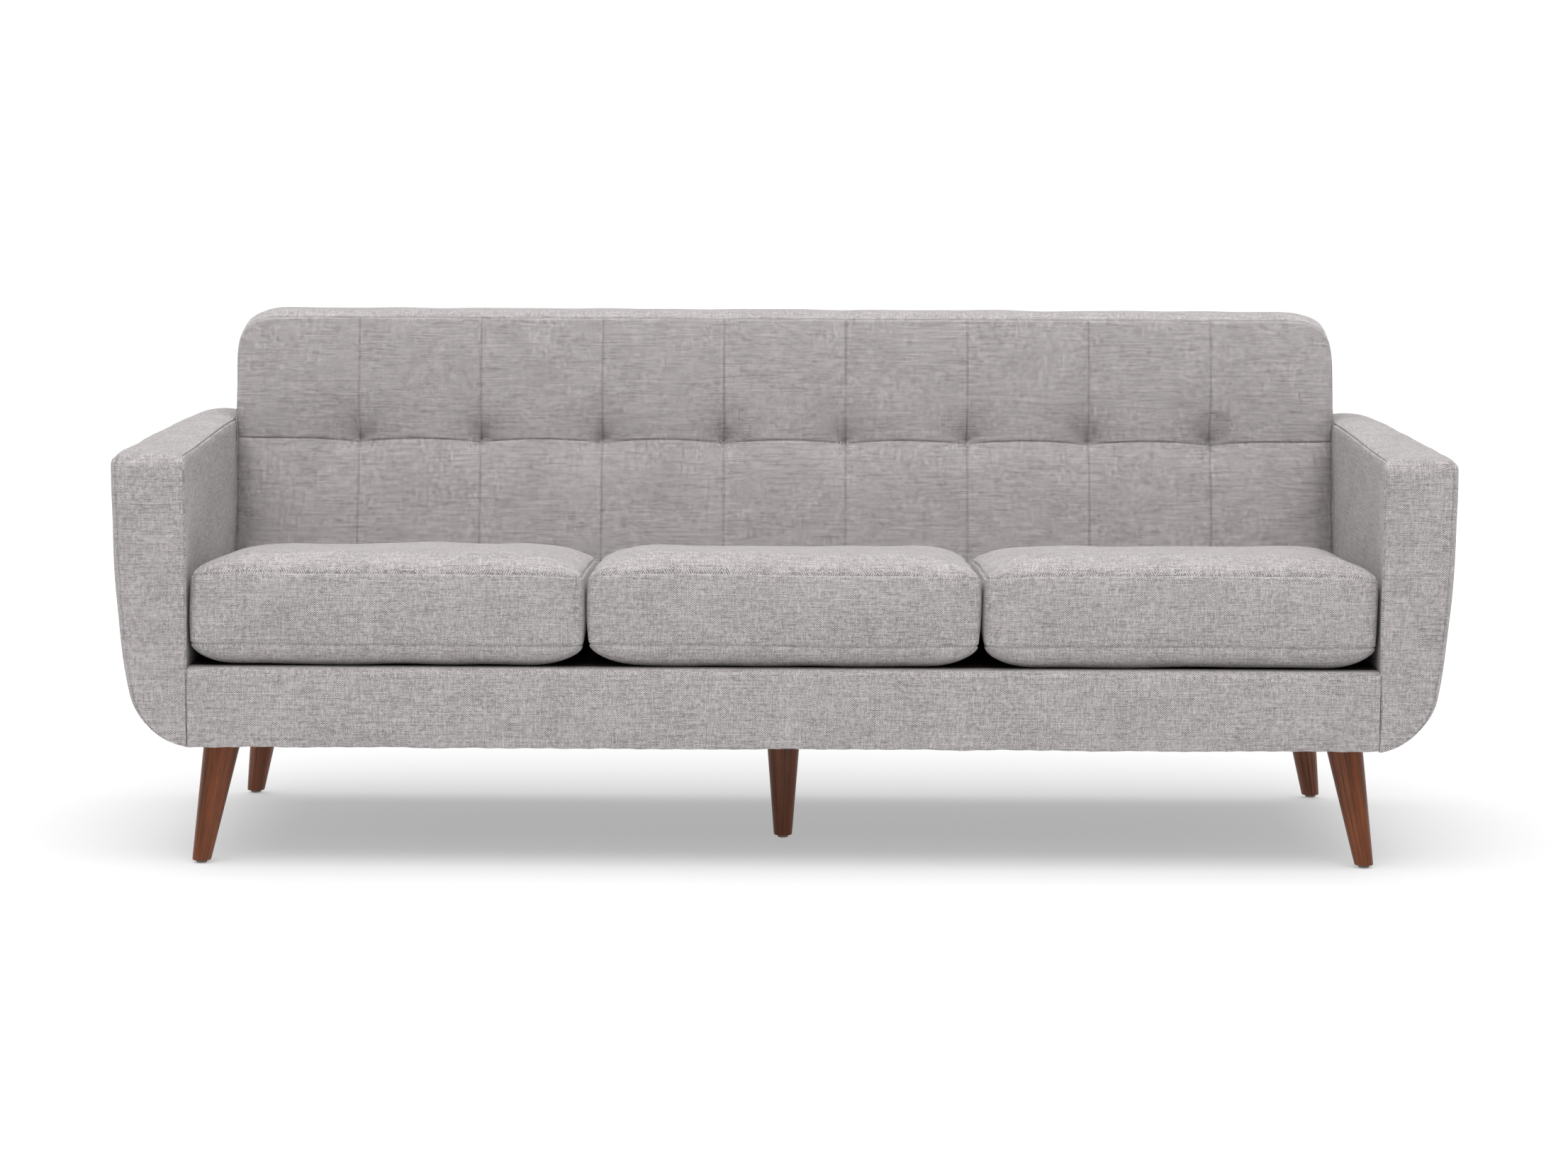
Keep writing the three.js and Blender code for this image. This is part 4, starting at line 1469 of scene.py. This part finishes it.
@dataclass
class FrontBorder:
    """The padded cover of the front rail, with its hem pulled under."""

    top_round: float = 0.011
    hem_round: float = 0.003
    hem_wave: float = 0.0011
    puff: float = 0.0022
    staple_pitch: float = 0.038

    def build(self) -> bpy.types.Object:
        """Makes the border."""
        low, high = node_box("front_border_cover")
        across = graded(low.x, high.x, 0.0125, (low.x, high.x))
        deep = graded(low.y, high.y, 0.012, (low.y,), (0.0015, 0.004, 0.008, 0.012))
        up = graded(low.z, high.z, 0.01, (low.z, high.z), (0.0012, 0.003, 0.006, 0.009, 0.0125))
        skin = Skin.block(across, deep, up)
        skin.round_edge((1, 2), (low.y, high.z), (-1, 1), self.top_round)
        skin.round_edge((1, 2), (low.y, low.z), (-1, -1), self.hem_round)
        x, _, z = skin.flat.T
        tall = np.clip((z - low.z) / (high.z - low.z), 0.0, 1.0)
        puff = self.puff * (1 - np.abs(2 * tall - 1) ** 3)
        skin.shaped[:, 1] -= np.where(skin.on(Panel.FRONT), puff, 0.0)
        near_hem = np.exp(-(z - low.z) / 0.01)
        turn = 2 * math.pi / self.staple_pitch
        pucker = 0.6 * np.sin(x * turn + 1.7 * np.sin(x * 9.0)) + ripple(skin.flat, 1.0, 0.11, 5) * 0.6
        skin.shaped[:, 2] += self.hem_wave * pucker * near_hem
        skin.shaped[:, 1] += 0.0007 * pucker * np.exp(-(z - low.z) / 0.02)
        weave = skin.weave((0.13, 1.9))
        cover = skin.mesh_object("front_border_padded", weave)
        dress(cover, Finish.CLOTH, FRAME_BODY, ["front_border_cover"], rounds=1)
        return cover


@dataclass
class OutsideBack:
    """The plain panel over the rear, stretched, slip-stitched at the edges and stapled under the seat."""

    thickness: float = 0.0018
    edge: float = 0.009
    corner: float = 0.112
    squareness: float = 4.3
    rear_rake: float = 0.1037

    def build(self) -> bpy.types.Object:
        """Makes the panel."""
        low, high = node_box("outside_back_panel")
        across = graded(low.x, high.x, 0.022, (low.x, high.x))
        up = graded(low.z, high.z, 0.022, (low.z, high.z))
        skin = Skin.block(across, np.array([0.0, 1.0]), up)
        for x, sign in ((low.x, -1), (high.x, 1)):
            skin.round_edge((0, 2), (x, high.z), (sign, 1), self.corner, self.squareness)
        x, t, z = skin.shaped.T.copy()
        top = high.z - self.edge
        z = low.z + (z - low.z) * (top - low.z) / (high.z - low.z)
        face = high.y - (high.z - z) * self.rear_rake
        tall, wide = (z - low.z) / (top - low.z), x / high.x
        swell_out = 0.003 * np.sin(math.pi * tall) * (1 - np.abs(wide) ** 6)
        y = face + swell_out + ripple(skin.flat, 0.0006, 0.2, 3) + 0.0006 - (1 - t) * self.thickness
        skin.shaped = np.stack([x, y, z], axis=1)
        weave = skin.weave((0.9, 0.2))
        panel = skin.mesh_object("outside_back_stretched", weave)
        dress(panel, Finish.CLOTH, FRAME_BODY, ["outside_back_panel"], rounds=1)
        return panel


@dataclass
class SeatDeck:
    """The dark cloth and pad over the springs, dished a little between the boards."""

    dish: float = 0.004

    def build(self) -> bpy.types.Object:
        """Makes the deck."""
        low, high = node_box("seat_deck")
        across = graded(low.x, high.x, 0.03, (low.x, high.x))
        deep = graded(low.y, high.y, 0.03, (low.y, high.y))
        up = graded(low.z, high.z, 0.006, (high.z,), (0.0015, 0.004))
        skin = Skin.block(across, deep, up)
        for y, sign in ((low.y, -1), (high.y, 1)):
            skin.round_edge((1, 2), (y, high.z), (sign, 1), 0.004)
        x, y, _ = skin.flat.T
        edge = to_edge(x, y, low, high)
        uneven = ripple(skin.flat, 0.0008, 0.19, 21) * swell(edge, 0.03, 2.0)
        dished = self.dish * swell(edge, 0.12, 2.0) + uneven
        skin.shaped[:, 2] -= np.where(skin.on(Panel.TOP), dished, 0.0)
        deck = skin.mesh_object("seat_deck_cloth", skin.weave())
        dress(deck, Finish.DECK, FRAME_BODY, ["seat_deck"], rounds=1)
        return deck


@dataclass
class DustCover:
    """The non-woven cloth under the seat, with the staples that hold it."""

    thickness: float = 0.0008
    sag: float = 0.0022
    staple_pitch: float = 0.062
    staple_inset: float = 0.008
    corner_left: float = 0.1
    crown: float = 0.0115
    wire: float = 0.0006

    def build(self) -> bpy.types.Object:
        """Makes the cloth."""
        low, high = node_box("dust_cover")
        across = graded(low.x, high.x, 0.025, (low.x, high.x))
        deep = graded(low.y, high.y, 0.025, (low.y, high.y))
        skin = Skin.block(across, deep, np.array([high.z - self.thickness, high.z]))
        x, y, _ = skin.flat.T
        edge = to_edge(x, y, low, high)
        free = swell(edge, 0.1, 2.0)
        skin.shaped[:, 2] -= self.sag * free * (0.5 + 0.5 * np.cos(x * 9.0) ** 2) + 0.0004
        skin.shaped[:, 2] += ripple(skin.flat, 0.0006, 0.08, 9) * free
        cloth = skin.mesh_object("dust_cover_cloth", skin.weave())
        dress(cloth, Finish.DUST, FRAME_BODY, ["dust_cover"])
        return cloth

    def build_staples(self) -> bpy.types.Object:
        """Makes the row of staples round the edge."""
        low, high = node_box("dust_cover")
        inset = self.staple_inset
        below = high.z - self.thickness - 0.0006
        middle, parts = (low + high) / 2, []
        for along, across in ((0, 1), (1, 0)):
            count = int((high[along] - low[along] - 2 * self.corner_left) / self.staple_pitch)
            half = [self.wire] * 3
            half[along] = self.crown / 2
            for edge in (low[across] + inset, high[across] - inset):
                for n in range(count):
                    place = [edge, edge, below]
                    place[along] = middle[along] + (n - (count - 1) / 2) * self.staple_pitch
                    parts.append((place, half))
        staples = joined_blocks("dust_cover_staples", parts)
        dress(staples, Finish.STEEL, FRAME_BODY)
        return staples


def joined_blocks(name: str, parts: Sequence[tuple[Sequence[float], Sequence[float]]]) -> bpy.types.Object:
    """One mesh of many small rounded blocks.

    Args:
        name: The object's name.
        parts: The middle and the half sizes of each block.

    Returns:
        The object.
    """
    edge = np.array([-1.0, -0.55, 0.55, 1.0])
    unit = Skin.block(edge, edge, edge)
    squared = np.maximum(np.abs(unit.flat).max(axis=1, keepdims=True), 1e-9)
    rounded = unit.flat * squared / np.linalg.norm(unit.flat, axis=1, keepdims=True) ** 0.35
    points = np.concatenate([np.array(middle) + rounded * np.array(half) for middle, half in parts])
    faces = np.concatenate([unit.faces + n * len(unit.flat) for n in range(len(parts))])
    skin = Skin(points, points.copy(), faces, unit.panels * len(parts))
    return skin.mesh_object(name, skin.weave())


# ---- Legs ----


@dataclass
class Leg:
    """A turned, tapered leg on its hanger bolt, with a nail-on glide."""

    name: str
    top_radius: float = 0.03
    foot_radius: float = 0.0152
    ease: float = 0.0016
    sides: int = 64
    rings: int = 28
    sharp_above: float = 50.0

    def __post_init__(self) -> None:
        """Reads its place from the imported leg, its bolt and its glide."""
        self.low, self.high = node_box(f"leg_{self.name}")
        bolt_low, bolt_high = node_box(f"hanger_bolt_{self.name}")
        glide_low, glide_high = node_box(f"glide_{self.name}")
        self.head = (bolt_low + bolt_high) / 2
        self.foot = (glide_low + glide_high) / 2
        self.glide_radius = (glide_high.x - glide_low.x) / 2

    def _profile(self) -> list[tuple[float, float]]:
        """Radius and height of each ring, from the foot's middle round to the top's middle."""
        bottom, top = self.low.z, self.high.z
        rise = top - bottom
        rings = [(0.003, bottom), (self.foot_radius - self.ease, bottom)]
        for turn in (30, 60, 90):
            angle = math.radians(turn)
            out = self.foot_radius - self.ease * (1 - math.sin(angle))
            rings.append((out, bottom + self.ease * (1 - math.cos(angle))))
        for n in range(1, self.rings):
            part = n / self.rings
            height = bottom + self.ease + (rise - self.ease) * part
            radius = self.foot_radius + (self.top_radius - self.foot_radius) * (height - bottom) / rise
            rings.append((radius, height))
        rings += [(self.top_radius, top), (self.top_radius - 0.004, top), (0.006, top)]
        return rings

    def _turned(self, name: str, rings: Sequence[tuple[float, float]], offset: float) -> bpy.types.Object:
        """A turned mesh whose axis leans from the foot to the head.

        Args:
            name: The object's name.
            rings: Radius and height of each ring.
            offset: Moves the grain, so that no two legs match.

        Returns:
            The object.
        """
        angles = np.linspace(0, 2 * math.pi, self.sides, endpoint=False)
        rise = self.high.z - self.low.z
        points, along = [], [0.0]
        for (r0, z0), (r1, z1) in zip(rings, rings[1:]):
            along.append(along[-1] + math.hypot(r1 - r0, z1 - z0))
        for radius, height in rings:
            part = min(max((height - self.low.z) / rise, 0.0), 1.0)
            x = self.foot.x + (self.head.x - self.foot.x) * part + radius * np.cos(angles)
            y = self.foot.y + (self.head.y - self.foot.y) * part + radius * np.sin(angles)
            points.append(np.stack([x, y, np.full_like(x, height)], axis=1))
        count, sides = len(rings), self.sides
        ring, turn = np.meshgrid(np.arange(count - 1), np.arange(sides), indexing="ij")
        after = (turn + 1) % sides
        below, above = ring * sides, (ring + 1) * sides
        quads = np.stack([below + turn, below + after, above + after, above + turn], axis=-1).reshape(-1, 4)
        arc = np.array([0, 1, 1, 0]) + turn.reshape(-1, 1)
        up = np.array(along)[np.array([0, 0, 1, 1]) + ring.reshape(-1, 1)]
        girth = 2 * math.pi * self.top_radius / sides
        weave = np.stack([arc * girth + offset, up], axis=-1)
        first_cap = list(range(sides - 1, -1, -1))
        last_cap = list(range((count - 1) * sides, count * sides))
        faces = [*quads.tolist(), first_cap, last_cap]
        mesh = smooth_mesh(name, np.concatenate(points), faces, weave)
        mesh.set_sharp_from_angle(angle=math.radians(self.sharp_above))
        return linked(name, mesh)

    def build(self, number: int) -> bpy.types.Object:
        """Makes the leg.

        Args:
            number: Which leg, which sets its grain.

        Returns:
            The leg.
        """
        leg = self._turned(f"leg_{self.name}_turned", self._profile(), 0.37 * number)
        dress(leg, Finish.LEG, FRAME_BODY, [f"leg_{self.name}"])
        return leg

    def build_glide(self) -> bpy.types.Object:
        """Makes the glide with its nail."""
        radius, top = self.glide_radius, self.low.z - 0.0003
        flat, edge, nail = radius * 0.72, 0.0006, 0.0012
        rings = [(0.0008, 0.0), (flat, 0.0)]
        for turn in (25, 50, 75, 90):
            angle = math.radians(turn)
            rings.append((flat + (radius - flat) * math.sin(angle), 0.0022 * (1 - math.cos(angle))))
        rings += [(radius, top - edge), (radius - edge, top)]
        rings += [(nail, top), (nail, 0.017), (0.0003, 0.019)]
        glide = self._turned(f"glide_{self.name}_moulded", rings, 0.0)
        dress(glide, Finish.GLIDE, FRAME_BODY, [f"glide_{self.name}"])
        return glide


# ---- What stays as packed ----


@dataclass
class InnerFrame:
    """The timber, springs, webs and bolts inside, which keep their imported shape."""

    finishes: dict[str, Finish] = field(default_factory=lambda: {finish.slot: finish for finish in Finish})

    def dress(self) -> int:
        """Gives each of them the finish of its slot, and returns how many there are."""
        slots = {part["node"]: part["material_slot"] for part in frame["record"]["subparts"]}
        count = 0
        for name, piece in frame["nodes"].items():
            if piece.hide_render:
                continue
            material = self.finishes[slots[name]].material()
            if not piece.material_slots:
                piece.data.materials.append(material)
            for held in piece.material_slots:
                held.link = "OBJECT"
                held.material = material
            count += 1
        return count


# ---- Studio ----


@dataclass(frozen=True)
class Sun:
    """One broad soft light: which way it shines, its strength and how wide it spreads, in degrees."""

    name: str
    shines: tuple[float, float, float]
    strength: float
    spread: float

    def hang(self) -> bpy.types.Object:
        """Puts the light up."""
        light = bpy.data.lights.new(self.name, "SUN")
        light.energy = self.strength
        light.angle = math.radians(self.spread)
        made = linked(self.name, light)
        made.rotation_euler = Vector(self.shines).to_track_quat("-Z", "Y").to_euler()
        return made


@dataclass
class Studio:
    """A plain pale floor, soft light from above and the front left, and the camera."""

    focal: float = 98.63
    sensor: float = 36.0
    camera_distance: float = 6.8
    camera_height: float = 1.215
    pitch: float = 6.38
    roll: float = 0.26
    sky_seen: float = 1.05
    sky_light: float = 0.39
    floor_tone: float = 0.5
    floor_glow: float = 0.4
    floor_half: float = 60.0
    suns: tuple[Sun, ...] = (
        Sun("overhead", (0.03, 0.07, -1.0), 2.9, 80.0),
        Sun("front", (0.0, 0.64, -0.77), 0.5, 50.0),
    )

    def light(self) -> None:
        """Lights the room."""
        world = bpy.data.worlds.new("studio")
        world.use_nodes = True
        tree = world.node_tree
        seen = tree.nodes.new("ShaderNodeLightPath")
        level = tree.nodes.new("ShaderNodeMapRange")
        level.inputs["To Min"].default_value = self.sky_light
        level.inputs["To Max"].default_value = self.sky_seen
        back = tree.nodes["Background"]
        back.inputs["Color"].default_value = (1.0, 1.0, 1.0, 1.0)
        tree.links.new(seen.outputs["Is Camera Ray"], level.inputs["Value"])
        tree.links.new(level.outputs["Result"], back.inputs["Strength"])
        bpy.context.scene.world = world
        for sun in self.suns:
            sun.hang()
        bpy.context.scene.view_settings.view_transform = "Standard"

    def lay_floor(self) -> bpy.types.Object:
        """Lays the floor."""
        half = self.floor_half
        mesh = bpy.data.meshes.new("studio_floor")
        corners = [(-half, -half, 0), (half, -half, 0), (half, half, 0), (-half, half, 0)]
        mesh.from_pydata(corners, [], [(0, 1, 2, 3)])
        floor = linked("studio_floor", mesh)
        shader = Shader("studio_floor")
        tone = (self.floor_tone, self.floor_tone, self.floor_tone)
        finish = shader.finish_with(
            Base_Color=tone,
            Roughness=0.9,
            Specular_IOR_Level=0.1,
            Emission_Color=(1.0, 1.0, 1.0),
            Emission_Strength=self.floor_glow,
        )
        mesh.materials.append(finish)
        return floor

    def stand_camera(self) -> bpy.types.Object:
        """Puts the camera in front of the sofa, level with its middle."""
        lens = bpy.data.cameras.new("camera")
        lens.lens = self.focal
        lens.sensor_width = self.sensor
        lens.clip_end = 200.0
        camera = linked("camera", lens)
        place = Matrix.Translation((0.0, CAD_BOX[0][1] - self.camera_distance, self.camera_height))
        tilt = Matrix.Rotation(math.radians(90 - self.pitch), 4, "X")
        turn = Matrix.Rotation(math.radians(self.roll), 4, "Z")
        camera.matrix_world = place @ tilt @ turn
        bpy.context.scene.camera = camera
        return camera


# ---- The whole sofa ----


def main() -> None:
    """Builds every piece in order."""
    logging.basicConfig(level=logging.INFO, format="%(name)s: %(message)s")
    studio = Studio()
    studio.stand_camera()
    for number, name in enumerate(SEATS):
        cushion = SeatCushion(name, number)
        cushion.build_core(cushion.build())
    back = TuftedBack()
    back.build_foam(back.build())
    for side in Side:
        arm = Arm(side)
        arm.build()
        arm.build_padding()
    FrontBorder().build()
    OutsideBack().build()
    SeatDeck().build()
    dust = DustCover()
    dust.build()
    dust.build_staples()
    for number, name in enumerate(("front_left", "front_right", "rear_left", "rear_right", "centre")):
        leg = Leg(name)
        leg.build(number)
        leg.build_glide()
    LOG.info("%d packed pieces keep their shape", InnerFrame().dress())
    studio.light()
    studio.lay_floor()


if __name__ == "__main__":
    main()
